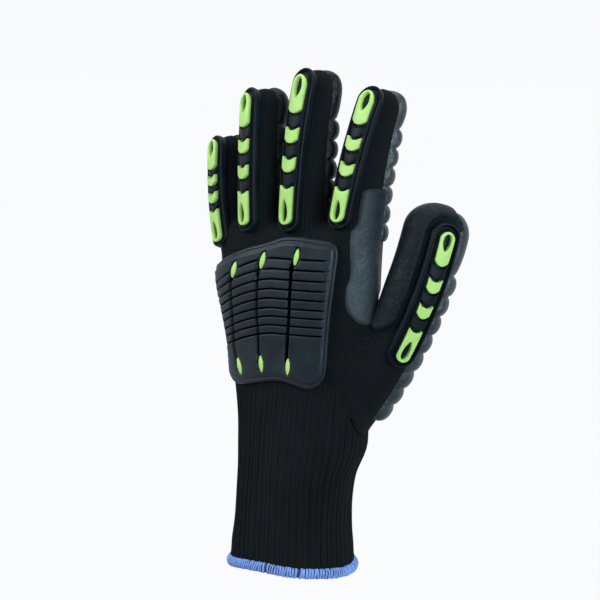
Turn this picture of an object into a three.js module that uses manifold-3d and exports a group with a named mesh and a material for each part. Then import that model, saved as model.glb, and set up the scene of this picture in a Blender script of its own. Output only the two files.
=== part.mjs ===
// Anti-vibration work glove for the left hand, in the shape it has when worn with the fingers up.
// Frame: +Z from the wrist opening to the fingertips, -Y the back of the hand, +X the thumb side.
// Origin: the centre of the wrist opening, level with the lower edge of the hem. Sizes are in
// millimetres and degrees.
// A knitted liner carries moulded rubber guards on its back and a foam coating with raised pads on
// its palm. The liner is built as tubes, one for each hollow that a hand fills.
import * as THREE from "three";
import { mergeVertices } from "three/addons/utils/BufferGeometryUtils.js";
import Module from "manifold-3d";

const wasm = await Module();
wasm.setup();
const { Vector3 } = THREE;

// Clearances and walls
const GAP = 0.3;
const KNIT_WALL = 1.6;
const COAT = 1.3;
const PATCH = 1.8;

// Cuff and hand
const CUFF_LENGTH = 80;
const HAND_LENGTH = 92;
const CROTCH_ROUNDING = 9;
const WRIST_HALF_WIDTH = 31.5;
const WRIST_HALF_DEPTH = 23.5;
const KNUCKLE_HALF_WIDTH = 45.5;
const KNUCKLE_HALF_DEPTH = 16.5;
const SECTION_FULLNESS = 2.25;
const CUFF_RIBS = 18;
const RIB_HEIGHT = 0.7;

// Hem
const HEM_HEIGHT = 5.5;
const HEM_THICKNESS = 1.5;

// Sections of the cuff and the hand. Each row says how far along the cuff or the hand it lies, and
// gives the shares of the wrist's and the knuckles' sizes that make its half width and its depth to
// the back and the palm. Shifts to the thumb side and the palm are shares of the knuckles' half
// width.
const BODY_ROWS = [
  { cuff: 0.0, hand: 0.0, wrist: 1.05, knuckle: 0.0, back: 1.0, palm: 1.0, aside: 0.0, under: 0.0 },
  { cuff: 0.3, hand: 0.0, wrist: 1.0, knuckle: 0.0, back: 1.0, palm: 1.0, aside: 0.0, under: 0.0 },
  { cuff: 0.6, hand: 0.0, wrist: 1.0, knuckle: 0.02, back: 0.97, palm: 1.0, aside: 0.03, under: 0.0 },
  { cuff: 0.8, hand: 0.0, wrist: 0.8, knuckle: 0.24, back: 0.94, palm: 1.0, aside: 0.085, under: 0.01 },
  { cuff: 1.0, hand: 0.0, wrist: 0.55, knuckle: 0.42, back: 0.97, palm: 1.06, aside: 0.06, under: 0.02 },
  { cuff: 1.0, hand: 0.19, wrist: 0.3, knuckle: 0.65, back: 1.0, palm: 1.12, aside: 0.075, under: 0.03 },
  { cuff: 1.0, hand: 0.41, wrist: 0.13, knuckle: 0.82, back: 1.02, palm: 1.14, aside: 0.07, under: 0.02 },
  { cuff: 1.0, hand: 0.75, wrist: 0.0, knuckle: 1.0, back: 1.0, palm: 1.0, aside: 0.055, under: 0.0 },
  { cuff: 1.0, hand: 1.0, wrist: 0.0, knuckle: 1.0, back: 0.86, palm: 0.86, aside: 0.05, under: 0.0 },
];

// Fingers and thumb. The centreline bends from base to tip, each given as x, y and z. The tip is
// the centre of the rounded end. Half widths are across the finger, half depths from back to palm.
// Turn is how far the guarded back faces away from -Y towards the thumb side, and padTurn how far
// the middle of the pad faces away from the side opposite the guard. PadSteps says how many facets
// of the finger the pad covers to each side of its middle.
const FINGERS = [
  {
    name: "little", base: [-31, 2, 145], bend: [-44, 3, 185], tip: [-46.3, 10.5, 214.5],
    rootWidth: 8.8, tipWidth: 8.3, rootDepth: 9, tipDepth: 8, turn: -25, padTurn: 0, padSteps: 2,
    guard: 58, guardWidth: 6.7, guardStart: 6, tipPad: 22, pad: 56,
  },
  {
    name: "ring", base: [-16, -1, 145], bend: [-17, -6, 198], tip: [-20.5, 5, 239.5],
    rootWidth: 10.3, tipWidth: 9.5, rootDepth: 10, tipDepth: 9.2, turn: -24, padTurn: 0, padSteps: 2,
    guard: 75, guardWidth: 7.3, guardStart: 6, tipPad: 25, pad: 72,
  },
  {
    name: "middle", base: [9, -1, 145], bend: [9, -6, 204], tip: [9.5, 5, 249.5],
    rootWidth: 10.8, tipWidth: 10.1, rootDepth: 10.4, tipDepth: 9.8, turn: -16, padTurn: 0, padSteps: 2,
    guard: 85, guardWidth: 7.5, guardStart: 6, tipPad: 27, pad: 82,
  },
  {
    name: "index", base: [31, 1, 145], bend: [39, -4, 198], tip: [49.5, 9, 241],
    rootWidth: 10.8, tipWidth: 10.1, rootDepth: 10.4, tipDepth: 9.8, turn: -12, padTurn: 0, padSteps: 2,
    guard: 77, guardWidth: 7.5, guardStart: 6, tipPad: 25, pad: 72,
  },
  {
    name: "thumb", base: [20, 6, 68], bend: [64, 6, 121], tip: [76, 18, 179],
    rootWidth: 16, tipWidth: 13, rootDepth: 14.5, tipDepth: 11.5, turn: 54, padTurn: 72, padSteps: 2,
    guard: 77, guardWidth: 7.4, guardStart: 12, tipPad: 36, pad: 112,
  },
];

// Finger guards
const GUARD_HEIGHT = 3.8;
const GUARD_FLOOR = 1.5;
const GUARD_RIM = 2.8;
const INSERT_HEIGHT = 4.3;
const SADDLE_HEIGHT = 3.3;
const NOTCH = 2;
const CROWN = 0.6;
const EYE_MARGIN = 3;
const EYE_SHARE = 0.45;
// Pieces of a finger guard, as shares of its length
const GUARD_ROWS = [
  { piece: "toe", from: 0.035, to: 0.26 },
  { piece: "saddle", from: 0.26, to: 0.36 },
  { piece: "upper", from: 0.36, to: 0.45 },
  { piece: "saddle", from: 0.45, to: 0.54 },
  { piece: "lower", from: 0.54, to: 0.63 },
  { piece: "saddle", from: 0.63, to: 0.725 },
  { piece: "heel", from: 0.725, to: 0.965 },
];

// Knuckle guard. Its edges and its lengthwise grooves lie at shares of the hand's half width, and
// its ends at heights above the cuff.
const KNUCKLE_GUARD_HEIGHT = 3.6;
const KNUCKLE_GUARD_LOW = 15;
const KNUCKLE_GUARD_HIGH = 91;
const KNUCKLE_GUARD_CORNER = 5;
const KNUCKLE_GUARD_EDGES = { little: -0.965, thumb: 0.7 };
const KNUCKLE_GUARD_TAPER = 0.07;
const LONG_GROOVES = [-0.7, -0.29, 0.14];
const CROSS_GROOVES = 9;
const CROSS_GROOVE_HIGH = 80;
const CROSS_GROOVE_LOW = 40.5;
const GROOVE_WIDTH = 2;
const GROOVE_DEPTH = 1.3;
const LENS_LENGTH = 8.4;
const LENS_WIDTH = 3.6;
const LENS_HIGH = 82;
const LENS_LOW = 27;
const LENS_HEIGHT = 4.2;
// How much lower the guard's upper part lies towards the little finger
const KNUCKLE_SLOPE = 11;

// Web patch, between the thumb and the index finger. Its outline is seen from the back of the hand,
// as distances towards the thumb side from the wrist's centre and heights above the cuff.
const PATCH_OUTLINE = [
  { side: 46, height: 119 }, { side: 41, height: 101 }, { side: 40, height: 88 },
  { side: 40, height: 76 }, { side: 38, height: 69 }, { side: 38, height: 60 },
  { side: 42, height: 53 }, { side: 48, height: 49 }, { side: 55, height: 48 },
  { side: 62, height: 52 }, { side: 68, height: 62 }, { side: 74, height: 82 },
  { side: 79, height: 97 }, { side: 98, height: 99 }, { side: 98, height: 125 },
  { side: 58, height: 125 }, { side: 58, height: 119 },
];

// Palm coating and pads
const BUMP_PITCH = 9.4;
const BUMP_HEIGHT = 3;
const PAD_SEAT = 0.75;
const PALM_START = 70;
const PALM_EDGE = 98;
const PALM_COLUMNS = 5;
const PALM_ROWS = 9;
// Share of a pad's length that curves over the fingertip
const TIP_SHARE = 0.15;
const PILLOW_SPACE = COAT + BUMP_HEIGHT + GAP;

// Colours
const KNIT_BLACK = new THREE.MeshStandardMaterial({ color: 0x0c0e10, roughness: 0.95, metalness: 0 });
const RUBBER_BLACK = new THREE.MeshStandardMaterial({ color: 0x20252c, roughness: 0.5, metalness: 0 });
const RUBBER_GREEN = new THREE.MeshStandardMaterial({ color: 0xa6e85c, roughness: 0.45, metalness: 0 });
const FOAM_GREY = new THREE.MeshStandardMaterial({ color: 0x2b3238, roughness: 0.7, metalness: 0 });
const THREAD_BLUE = new THREE.MeshStandardMaterial({ color: 0x6f9de6, roughness: 0.9, metalness: 0 });

const radians = THREE.MathUtils.degToRad;
const lerp = THREE.MathUtils.lerp;
const range = (count) => Array.from({ length: count }, (_, i) => i);
const shares = (steps) => range(steps + 1).map((i) => i / steps);
const around = (count) => range(count).map((i) => (360 * i) / count);

// Solids

// A closed solid from corner points and triangles. Points that meet are merged, triangles that
// collapse go, and the faces are turned outwards.
function solidFrom(points, triangles) {
  const loose = new THREE.BufferGeometry();
  loose.setAttribute("position", new THREE.Float32BufferAttribute(points.flatMap((p) => p.toArray()), 3));
  loose.setIndex(triangles.flat());
  const merged = mergeVertices(loose, 1e-4);
  const position = merged.attributes.position;
  const corner = (i) => new Vector3().fromBufferAttribute(position, i);
  const kept = [];
  let volume = 0;
  for (let i = 0; i < merged.index.count; i += 3) {
    const [a, b, c] = [0, 1, 2].map((k) => merged.index.getX(i + k));
    if (a === b || b === c || c === a) continue;
    kept.push([a, b, c]);
    volume += corner(a).dot(corner(b).cross(corner(c)));
  }
  const triVerts = new Uint32Array(kept.flatMap(([a, b, c]) => (volume < 0 ? [a, c, b] : [a, b, c])));
  return new wasm.Manifold(new wasm.Mesh({ numProp: 3, vertProperties: position.array, triVerts }));
}

// A closed solid through rings of an even number of points each. Its two ends are closed straight
// across, or the last ring joins the first.
function ringSolid(rings, looped = false) {
  const count = rings[0].length;
  const points = rings.flat();
  const triangles = [];
  for (let r = 0; r + (looped ? 0 : 1) < rings.length; r++) {
    const next = (r + 1) % rings.length;
    for (let i = 0; i < count; i++) {
      const j = (i + 1) % count;
      triangles.push([r * count + i, r * count + j, next * count + j]);
      triangles.push([r * count + i, next * count + j, next * count + i]);
    }
  }
  const ends = looped ? [] : [0, (rings.length - 1) * count];
  for (const first of ends) {
    for (let i = 0; i < count / 2; i++) {
      const [a, b, c, d] = [i, i + 1, count - i - 1, (count - i) % count].map((k) => first + k);
      triangles.push(first ? [a, b, c] : [a, c, b], first ? [a, c, d] : [a, d, c]);
    }
  }
  return solidFrom(points, triangles);
}

// A closed plate over a grid of row and column lines, placed at level 0 and level 1 by
// place(row, column, level).
function plateSolid(rowLines, columnLines, place) {
  const rows = rowLines.length - 1;
  const columns = columnLines.length - 1;
  const points = [];
  const triangles = [];
  const id = (level, i, j) => (level * (rows + 1) + i) * (columns + 1) + j;
  for (const level of [0, 1]) {
    rowLines.forEach((row) => columnLines.forEach((column) => points.push(place(row, column, level))));
  }
  const quad = (a, b, c, d) => triangles.push([a, b, c], [a, c, d]);
  for (let i = 0; i < rows; i++) {
    for (let j = 0; j < columns; j++) {
      quad(id(1, i, j), id(1, i, j + 1), id(1, i + 1, j + 1), id(1, i + 1, j));
      quad(id(0, i, j), id(0, i + 1, j), id(0, i + 1, j + 1), id(0, i, j + 1));
    }
    quad(id(0, i, 0), id(1, i, 0), id(1, i + 1, 0), id(0, i + 1, 0));
    quad(id(0, i + 1, columns), id(1, i + 1, columns), id(1, i, columns), id(0, i, columns));
  }
  for (let j = 0; j < columns; j++) {
    quad(id(0, 0, j + 1), id(1, 0, j + 1), id(1, 0, j), id(0, 0, j));
    quad(id(0, rows, j), id(1, rows, j), id(1, rows, j + 1), id(0, rows, j + 1));
  }
  return solidFrom(points, triangles);
}

// Surface of the cuff and the hand

const BODY_LENGTH = CUFF_LENGTH + HAND_LENGTH;
const bodyRows = BODY_ROWS.map((row) => {
  const depth = row.wrist * WRIST_HALF_DEPTH + row.knuckle * KNUCKLE_HALF_DEPTH;
  return {
    z: row.cuff * CUFF_LENGTH + row.hand * HAND_LENGTH,
    x: row.aside * KNUCKLE_HALF_WIDTH,
    y: row.under * KNUCKLE_HALF_WIDTH,
    width: row.wrist * WRIST_HALF_WIDTH + row.knuckle * KNUCKLE_HALF_WIDTH,
    back: row.back * depth,
    palm: row.palm * depth,
  };
});

// The section at a height, on a smooth curve through the rows.
function bodySection(height) {
  const z = THREE.MathUtils.clamp(height, 0, BODY_LENGTH);
  const last = bodyRows.length - 1;
  const above = bodyRows.findIndex((row) => row.z > z);
  const k = above < 0 ? last - 1 : above - 1;
  const [a, b, c, d] = [k - 1, k, k + 1, k + 2].map((i) => bodyRows[THREE.MathUtils.clamp(i, 0, last)]);
  const step = c.z - b.z;
  const t = (z - b.z) / step;
  const smooth = (key) => {
    const slopeB = (step * (c[key] - a[key])) / (c.z - a.z);
    const slopeC = (step * (d[key] - b[key])) / (d.z - b.z);
    const ends = b[key] * (1 + 2 * t) * (1 - t) ** 2 + c[key] * t * t * (3 - 2 * t);
    return ends + slopeB * t * (1 - t) ** 2 - slopeC * t * t * (1 - t);
  };
  const [x, y, width, back, palm] = ["x", "y", "width", "back", "palm"].map(smooth);
  return { x, y, width, back, palm };
}

// A point of the body. Angle 0 faces the back of the hand, 90 the thumb side and 180 the palm.
// Shrink draws the section in towards its middle line, as at the rounded top of the hand.
function bodyPoint(z, angle, offset, shrink = 1) {
  const s = bodySection(z);
  const bend = (v) => Math.sign(v) * Math.abs(v) ** (2 / SECTION_FULLNESS);
  const across = bend(Math.sin(radians(angle)));
  const deep = bend(Math.cos(radians(angle)));
  const width = s.width + offset - CROTCH_ROUNDING * (1 - shrink);
  const depth = ((deep > 0 ? s.back : s.palm) + offset) * shrink;
  return new Vector3(s.x + width * across, s.y - depth * deep, z);
}

const RING_POINTS = 20;

// Heights of rings between two ends, at the same levels in every solid of the body.
function bodyLevels(from, to) {
  return [from, ...bodyRows.map((row) => row.z).filter((z) => z > from + GAP && z < to - GAP), to];
}

// The body's outside grown by offset, from one height to another.
function bodyTube(from, to, offset) {
  return ringSolid(bodyLevels(from, to).map((z) => around(RING_POINTS).map((a) => bodyPoint(z, a, offset))));
}

// The body with its rounded top between the fingers, grown by offset.
function handSolid(from, offset) {
  const ring = (z) => around(RING_POINTS).map((a) => bodyPoint(z, a, offset));
  const rings = bodyLevels(from, BODY_LENGTH).map(ring);
  for (const lift of [35, 70]) {
    const rise = (CROTCH_ROUNDING + offset) * Math.sin(radians(lift));
    const level = Math.cos(radians(lift));
    const dome = (a) => bodyPoint(BODY_LENGTH, a, offset, level).setZ(BODY_LENGTH + rise);
    rings.push(around(RING_POINTS).map(dome));
  }
  return ringSolid(rings);
}

// Surface of a finger

// A finger at a share of its centreline: centre, directions, half width and half depth.
function fingerStation(finger, share) {
  const [base, bend, tip] = [finger.base, finger.bend, finger.tip].map((p) => new Vector3(...p));
  const curve = new THREE.QuadraticBezierCurve3(base, bend, tip);
  const along = curve.getTangent(share).normalize();
  const facing = new Vector3(Math.sin(radians(finger.turn)), -Math.cos(radians(finger.turn)), 0);
  const back = facing.addScaledVector(along, -facing.dot(along)).normalize();
  return {
    centre: curve.getPoint(share),
    along,
    back,
    across: new Vector3().crossVectors(along, back),
    width: lerp(finger.rootWidth, finger.tipWidth, share),
    depth: lerp(finger.rootDepth, finger.tipDepth, share),
  };
}

const FINGER_POINTS = 10;

// The finger's outside grown by offset, with a rounded tip.
function fingerSolid(finger, offset) {
  const ring = (s, level, lift) =>
    around(FINGER_POINTS).map((a) =>
      s.centre
        .clone()
        .addScaledVector(s.along, (s.depth + offset) * lift)
        .addScaledVector(s.across, (s.width + offset) * level * Math.sin(radians(a)))
        .addScaledVector(s.back, (s.depth + offset) * level * Math.cos(radians(a))),
    );
  const rings = shares(4).map((share) => ring(fingerStation(finger, share), 1, 0));
  const tip = fingerStation(finger, 1);
  for (const lift of [35, 65]) {
    rings.push(ring(tip, Math.cos(radians(lift)), Math.sin(radians(lift))));
  }
  return ringSolid(rings);
}

// An angle across a finger, drawn in on the rounded tip to 90 degrees at its highest point.
function capAngle(angle, lift) {
  const past = Math.max(0, Math.abs(angle) - 90);
  return Math.sign(angle) * (Math.abs(angle) - past + past * (1 - lift / 90) ** 2);
}

// Wraps flat sizes onto a finger's back (side 1) or palm (side -1): gives the point that lies down
// millimetres from the tip's highest point, aside millimetres or an angle across, and up
// millimetres above the knit.
function fingerWrap(finger, side) {
  const tip = fingerStation(finger, 1);
  const cap = [90, 78, 66, 54, 42, 30, 15].map((lift) => ({
    ...tip,
    lift,
    normal: tip.back.clone().multiplyScalar(side * Math.cos(radians(lift)))
      .addScaledVector(tip.along, Math.sin(radians(lift))),
  }));
  const shaft = shares(20).map((share) => {
    const s = fingerStation(finger, 1 - share);
    return { ...s, lift: 0, normal: s.back.clone().multiplyScalar(side) };
  });
  const stations = [...cap, ...shaft];
  let reach = 0;
  stations.forEach((s, i) => {
    s.surface = s.centre.clone().addScaledVector(s.normal, s.depth);
    if (i) reach += s.surface.distanceTo(stations[i - 1].surface);
    s.reach = reach;
  });
  const place = (down, up, turnOf) => {
    const next = stations.findIndex((s) => s.reach > down);
    const k = THREE.MathUtils.clamp(next - 1, 0, stations.length - 2);
    const [a, b] = [stations[k], stations[k + 1]];
    const t = (down - a.reach) / (b.reach - a.reach);
    const mix = (key) => a[key].clone().lerp(b[key], t);
    const [width, depth] = [lerp(a.width, b.width, t), lerp(a.depth, b.depth, t)];
    const turn = turnOf(width, depth, lerp(a.lift, b.lift, t));
    return mix("centre")
      .addScaledVector(mix("across").normalize(), (width + up) * Math.sin(turn))
      .addScaledVector(mix("normal").normalize(), (depth + up) * Math.cos(turn));
  };
  return {
    at: (down, aside, up) => place(down, up, (width, depth) => (2 * aside) / (width + depth)),
    atAngle: (down, angle, up) => place(down, up, (width, depth, lift) => radians(capAngle(angle, lift))),
  };
}

// Liner

const bodyNear = handSolid(0, GAP);
const handAndFingersNear = [bodyNear, ...FINGERS.map((finger) => fingerSolid(finger, GAP))];
const bores = FINGERS.map((finger) => fingerSolid(finger, -KNIT_WALL));
const cutAll = (solid, cutters) => cutters.reduce((left, cutter) => left.subtract(cutter), solid);

// The cuff, ribbed lengthwise, whose lower edge sits in the hem. Its ribs are finer than the facets
// of its neighbours, so they stay one gap inside them.
function cuffSolid() {
  const ribbed = bodyLevels(HEM_THICKNESS + GAP, CUFF_LENGTH).map((z) =>
    around(CUFF_RIBS * 2).map((a, i) => bodyPoint(z, a, -GAP - (i % 2 ? 0 : RIB_HEIGHT))),
  );
  return ringSolid(ribbed).subtract(bodyTube(0, BODY_LENGTH, -KNIT_WALL - RIB_HEIGHT));
}

// The hem, a ring whose section wraps the cuff's lower edge.
function hemSolid() {
  const outside = HEM_THICKNESS;
  const inside = -KNIT_WALL - RIB_HEIGHT - HEM_THICKNESS;
  const section = [
    [0, inside],
    [0, outside],
    [HEM_HEIGHT, outside],
    [HEM_HEIGHT, GAP],
    [HEM_THICKNESS, GAP],
    [HEM_THICKNESS, inside + HEM_THICKNESS - GAP],
    [HEM_HEIGHT, inside + HEM_THICKNESS - GAP],
    [HEM_HEIGHT, inside],
  ];
  const rings = around(RING_POINTS).map((a) => section.map(([z, offset]) => bodyPoint(z, a, offset)));
  return ringSolid(rings, true);
}

function handKnitSolid() {
  const outside = handSolid(CUFF_LENGTH + GAP, 0);
  return cutAll(outside.subtract(handSolid(0, -KNIT_WALL)), bores);
}

// Finger guards

// A strip with round ends, wrapped on a finger, between two heights.
function stadiumSolid(wrap, from, to, half, low, high) {
  return plateSolid([0, 0.08, 0.35, 0.65, 1], shares(4), (row, column, level) => {
    const bow = radians(lerp(-90, 90, column));
    const round = half * (1 - Math.cos(bow));
    return wrap.at(lerp(from + round, to - round, row), half * Math.sin(bow), level ? high : low);
  });
}

// A piece of a strip, wrapped on a finger, with a crowned top and ends that bulge to the wrist.
function chevronSolid(wrap, span, half, low, high) {
  return plateSolid([0, 1], [-1, 0, 1], (row, column, level) => {
    const bulge = NOTCH * (1 - column * column);
    const up = high - CROWN * column * column;
    return wrap.at(lerp(span.from, span.to, row) + bulge, half * column, level ? up : low);
  });
}

// The outline of an insert at an end of a guard: one end round, the other a chevron. Flip is 1 when
// the round end is towards the fingertip and -1 when it is towards the wrist.
function insertOutline(span, half, flip) {
  const [round, square] = flip > 0 ? [span.from, span.to] : [span.to, span.from];
  const arc = [-90, -45, 0, 45, 90].map((bow) => [
    round + flip * half * (1 - Math.cos(radians(bow))),
    half * Math.sin(radians(bow)),
  ]);
  const side = (round + flip * half + square) / 2;
  return [...arc, [side, half], [square, half], [square + NOTCH, 0], [square, -half], [side, -half]];
}

// Shares of the eye's half length and half width at each point of the outline around it
const EYE_SHAPE = [
  [-0.4, 1], [-0.8, 0.7], [-1, 0], [-0.8, 0.7], [-0.4, 1], [0.1, 1], [0.7, 0.7], [1, 0], [0.7, 0.7], [0.1, 1],
];
// How much narrower the pointed half of a toe's eye is
const EYE_POINT = 0.75;

// An insert at an end of a guard, pierced by an eye that is pointed away from the round end or oval.
function eyeInsertSolid(wrap, span, half, low, high, flip) {
  const outline = insertOutline(span, half, flip);
  const middle = (span.from + span.to + (flip < 0 ? NOTCH : 0)) / 2;
  const length = (span.to - span.from) / 2 - EYE_MARGIN;
  const eye = outline.map(([, aside], i) => {
    const [reach, width] = EYE_SHAPE[i];
    const narrow = flip > 0 && i > 4 ? EYE_POINT : 1;
    return [middle + flip * length * reach, Math.sign(aside) * EYE_SHARE * half * width * narrow];
  });
  const sections = outline.map(([down, aside], i) => [
    wrap.at(down, aside, low),
    wrap.at(down, aside, high - CROWN),
    wrap.at(...eye[i], high),
    wrap.at(...eye[i], low),
  ]);
  return ringSolid(sections, true);
}

function guardPieces(finger) {
  const wrap = fingerWrap(finger, 1);
  const start = finger.guardStart;
  const end = start + finger.guard;
  const channel = finger.guardWidth - GUARD_RIM;
  const frame = stadiumSolid(wrap, start, end, finger.guardWidth, -1, GUARD_HEIGHT);
  const pocketTop = GUARD_HEIGHT + INSERT_HEIGHT;
  const pocket = stadiumSolid(wrap, start + GUARD_RIM, end - GUARD_RIM, channel, GUARD_FLOOR, pocketTop);
  const seat = GUARD_FLOOR + 2 * GAP;
  let body = frame.subtract(pocket);
  const inserts = [];
  for (const row of GUARD_ROWS) {
    const span = {
      from: start + Math.max(row.from * finger.guard, GUARD_RIM) + GAP,
      to: start + Math.min(row.to * finger.guard, finger.guard - GUARD_RIM) - GAP,
    };
    if (row.piece === "saddle") {
      body = body.add(chevronSolid(wrap, span, channel + GUARD_RIM / 2, GUARD_FLOOR / 2, SADDLE_HEIGHT));
      continue;
    }
    const pierced = row.piece === "toe" || row.piece === "heel";
    const solid = pierced
      ? eyeInsertSolid(wrap, span, channel - GAP, seat, INSERT_HEIGHT, row.piece === "toe" ? 1 : -1)
      : chevronSolid(wrap, span, channel - GAP, seat, INSERT_HEIGHT);
    inserts.push({ name: row.piece, solid: solid.subtract(bodyNear) });
  }
  return { body: cutAll(body, [bodyNear, fingerSolid(finger, GAP)]), inserts };
}

// Knuckle guard

// A point above the back of the hand, at a share of the half width and a height above the cuff.
function backPoint(share, height, up) {
  const angle = THREE.MathUtils.radToDeg(Math.asin(Math.abs(share) ** (SECTION_FULLNESS / 2)));
  const level = CUFF_LENGTH + height;
  return bodyPoint(level, Math.sign(share) * angle, up);
}

// How far the guard's lines sink at a share of the width, for a line at a share of its length.
const slope = (share, row) => KNUCKLE_SLOPE * (1 - row) * Math.max(0, 0.1 - share) ** 1.5;

function knuckleRow(height) {
  return (KNUCKLE_GUARD_HIGH - height) / (KNUCKLE_GUARD_HIGH - KNUCKLE_GUARD_LOW);
}

function knuckleGuardPieces() {
  const { little, thumb } = KNUCKLE_GUARD_EDGES;
  const length = KNUCKLE_GUARD_HIGH - KNUCKLE_GUARD_LOW;
  const half = GROOVE_WIDTH / 2;
  const crossGrooves = range(CROSS_GROOVES).map((i) =>
    knuckleRow(lerp(CROSS_GROOVE_HIGH, CROSS_GROOVE_LOW, i / (CROSS_GROOVES - 1))),
  );
  const crests = crossGrooves.slice(1).map((line, i) => (line + crossGrooves[i]) / 2);
  const beside = [crossGrooves[0] - half / length, crossGrooves.at(-1) + half / length];
  const rows = [0, ...crossGrooves, ...crests, ...beside, 1].sort((a, b) => a - b);
  const reach = half / KNUCKLE_HALF_WIDTH;
  const inset = KNUCKLE_GUARD_CORNER / KNUCKLE_HALF_WIDTH;
  const grooves = LONG_GROOVES.flatMap((line) => [line - reach, line, line + reach]);
  const columns = [little, ...grooves, thumb];
  const grooved = (row, column) => {
    const inside = column > little + 0.1 && column < thumb - 0.12;
    const long = LONG_GROOVES.includes(column) && row > crossGrooves[0] - 0.02 && row < 0.8;
    return long || (inside && crossGrooves.includes(row)) ? GROOVE_DEPTH : 0;
  };
  const outer = (row) => row === 0 || row === 1;
  let plate = plateSolid(rows, columns, (row, column, level) => {
    const edge = column === little || column === thumb;
    const squared = outer(row) ? THREE.MathUtils.clamp(column, little + inset, thumb - inset) : column;
    const share = squared * (1 - KNUCKLE_GUARD_TAPER * row);
    const height = KNUCKLE_GUARD_HIGH - row * length - slope(share, row);
    const rim = edge || outer(row) ? KNUCKLE_GUARD_HEIGHT / 3 : 0;
    return backPoint(share, height, level ? KNUCKLE_GUARD_HEIGHT - rim - grooved(row, column) : -2);
  });
  const lenses = [];
  LONG_GROOVES.forEach((share, i) => {
    for (const [place, level] of [["upper", LENS_HIGH], ["lower", LENS_LOW]]) {
      const centre = level - slope(share, knuckleRow(level));
      const seat = (grow, low, high) =>
        plateSolid(shares(4), [-1, 1], (row, column, top) => {
          const swell = Math.sin(Math.PI * row) ** 0.7;
          const aside = (column * (LENS_WIDTH / 2 + grow) * swell) / KNUCKLE_HALF_WIDTH;
          const height = centre + lerp(-1, 1, row) * (LENS_LENGTH / 2 + grow);
          return backPoint(share + aside, height, top ? high : low);
        });
      plate = plate.subtract(seat(GAP, GUARD_FLOOR, KNUCKLE_GUARD_HEIGHT + LENS_HEIGHT));
      lenses.push({ name: `${place}_lens_${i + 1}`, solid: seat(0, GUARD_FLOOR + GAP, LENS_HEIGHT) });
    }
  });
  return { plate: plate.subtract(bodyNear), lenses };
}

// Pads

// Height of a pillowed pad at a place counted in bumps along and across.
function pillow(along, across) {
  const rise = (v) => Math.abs(Math.sin(Math.PI * v)) ** 0.6;
  return COAT + BUMP_HEIGHT * Math.min(rise(along), rise(across));
}

// The pad on a finger: smooth over the fingertip, then rows of pillows.
function fingerPadSolid(finger) {
  const wrap = fingerWrap(finger, -1);
  const bumps = Math.round((finger.pad - finger.tipPad) / BUMP_PITCH);
  const pitch = (finger.pad - finger.tipPad) / bumps;
  const rows = [0.07, 0.2, 0.38, 0.56, 0.78, 1].map((share) => share * finger.tipPad);
  range(bumps * 2).forEach((i) => rows.push(finger.tipPad + ((i + 1) * pitch) / 2));
  const step = 360 / FINGER_POINTS;
  const edge = finger.padSteps * step;
  const columns = range(2 * finger.padSteps + 1).map((k) => k * step - edge);
  return plateSolid(rows, columns, (row, angle, level) => {
    const across = angle / edge;
    const crown = Math.sin(Math.PI * THREE.MathUtils.clamp(row / finger.tipPad, 0, 1)) ** 0.4;
    const smooth = COAT + BUMP_HEIGHT * 0.8 * crown * (1 - across ** 4);
    const bump = row <= finger.tipPad ? smooth : pillow((row - finger.tipPad) / pitch, across);
    return wrap.atAngle(row, angle + finger.padTurn, level ? bump : PAD_SEAT);
  });
}

// The coating on the palm, with its pillows, or a plain slab of the same outline.
function palmCoatSolid(high, edge = 0) {
  return plateSolid(shares(PALM_ROWS * 2), shares(PALM_COLUMNS * 2), (row, column, level) => {
    const z = lerp(PALM_START - edge, BODY_LENGTH + edge, row);
    const side = lerp(-1, 1, column);
    const angle = 180 + side * (180 - PALM_EDGE + edge);
    return bodyPoint(z, angle, level ? (high ?? pillow(row * PALM_ROWS, column * PALM_COLUMNS)) : -2);
  });
}

// The web patch: the skin of the hand, the index finger and the thumb inside the patch's outline,
// clear of the guards and the pads.
function webPatchSolid(clear) {
  const shape = new THREE.Shape(PATCH_OUTLINE.map((p) => new THREE.Vector2(p.side, p.height + CUFF_LENGTH)));
  const reach = 2 * KNUCKLE_HALF_WIDTH;
  const block = new THREE.ExtrudeGeometry(shape, { depth: reach, bevelEnabled: false });
  block.rotateX(Math.PI / 2);
  block.translate(0, reach / 2, 0);
  const places = block.attributes.position;
  const corners = range(places.count).map((i) => new Vector3().fromBufferAttribute(places, i));
  const faces = range(corners.length / 3).map((i) => [3 * i, 3 * i + 1, 3 * i + 2]);
  const grown = FINGERS.filter((finger) => finger.name === "index" || finger.name === "thumb")
    .map((finger) => fingerSolid(finger, GAP + PATCH))
    .reduce((skin, solid) => skin.add(solid), handSolid(CUFF_LENGTH, GAP + PATCH));
  return cutAll(grown.intersect(solidFrom(corners, faces)), [...handAndFingersNear, ...clear]);
}

// The space that a finger's guard or pad needs.
function guardSpace(finger) {
  const end = finger.guardStart + finger.guard + GAP;
  const wrap = fingerWrap(finger, 1);
  return stadiumSolid(wrap, finger.guardStart - GAP, end, finger.guardWidth + GAP, -1, GUARD_HEIGHT);
}

function padSpace(finger) {
  const wrap = fingerWrap(finger, -1);
  const edge = (finger.padSteps * 360) / FINGER_POINTS + 2;
  const rows = [...shares(3).map((share) => share * TIP_SHARE), ...shares(4).slice(1)];
  return plateSolid(rows, range(9).map((k) => (k / 4 - 1) * edge), (row, angle, level) =>
    wrap.atAngle(lerp(-1, finger.pad + 1, row), angle + finger.padTurn, level ? PILLOW_SPACE : -1),
  );
}

// Assembly

const glove = new THREE.Group();

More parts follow.
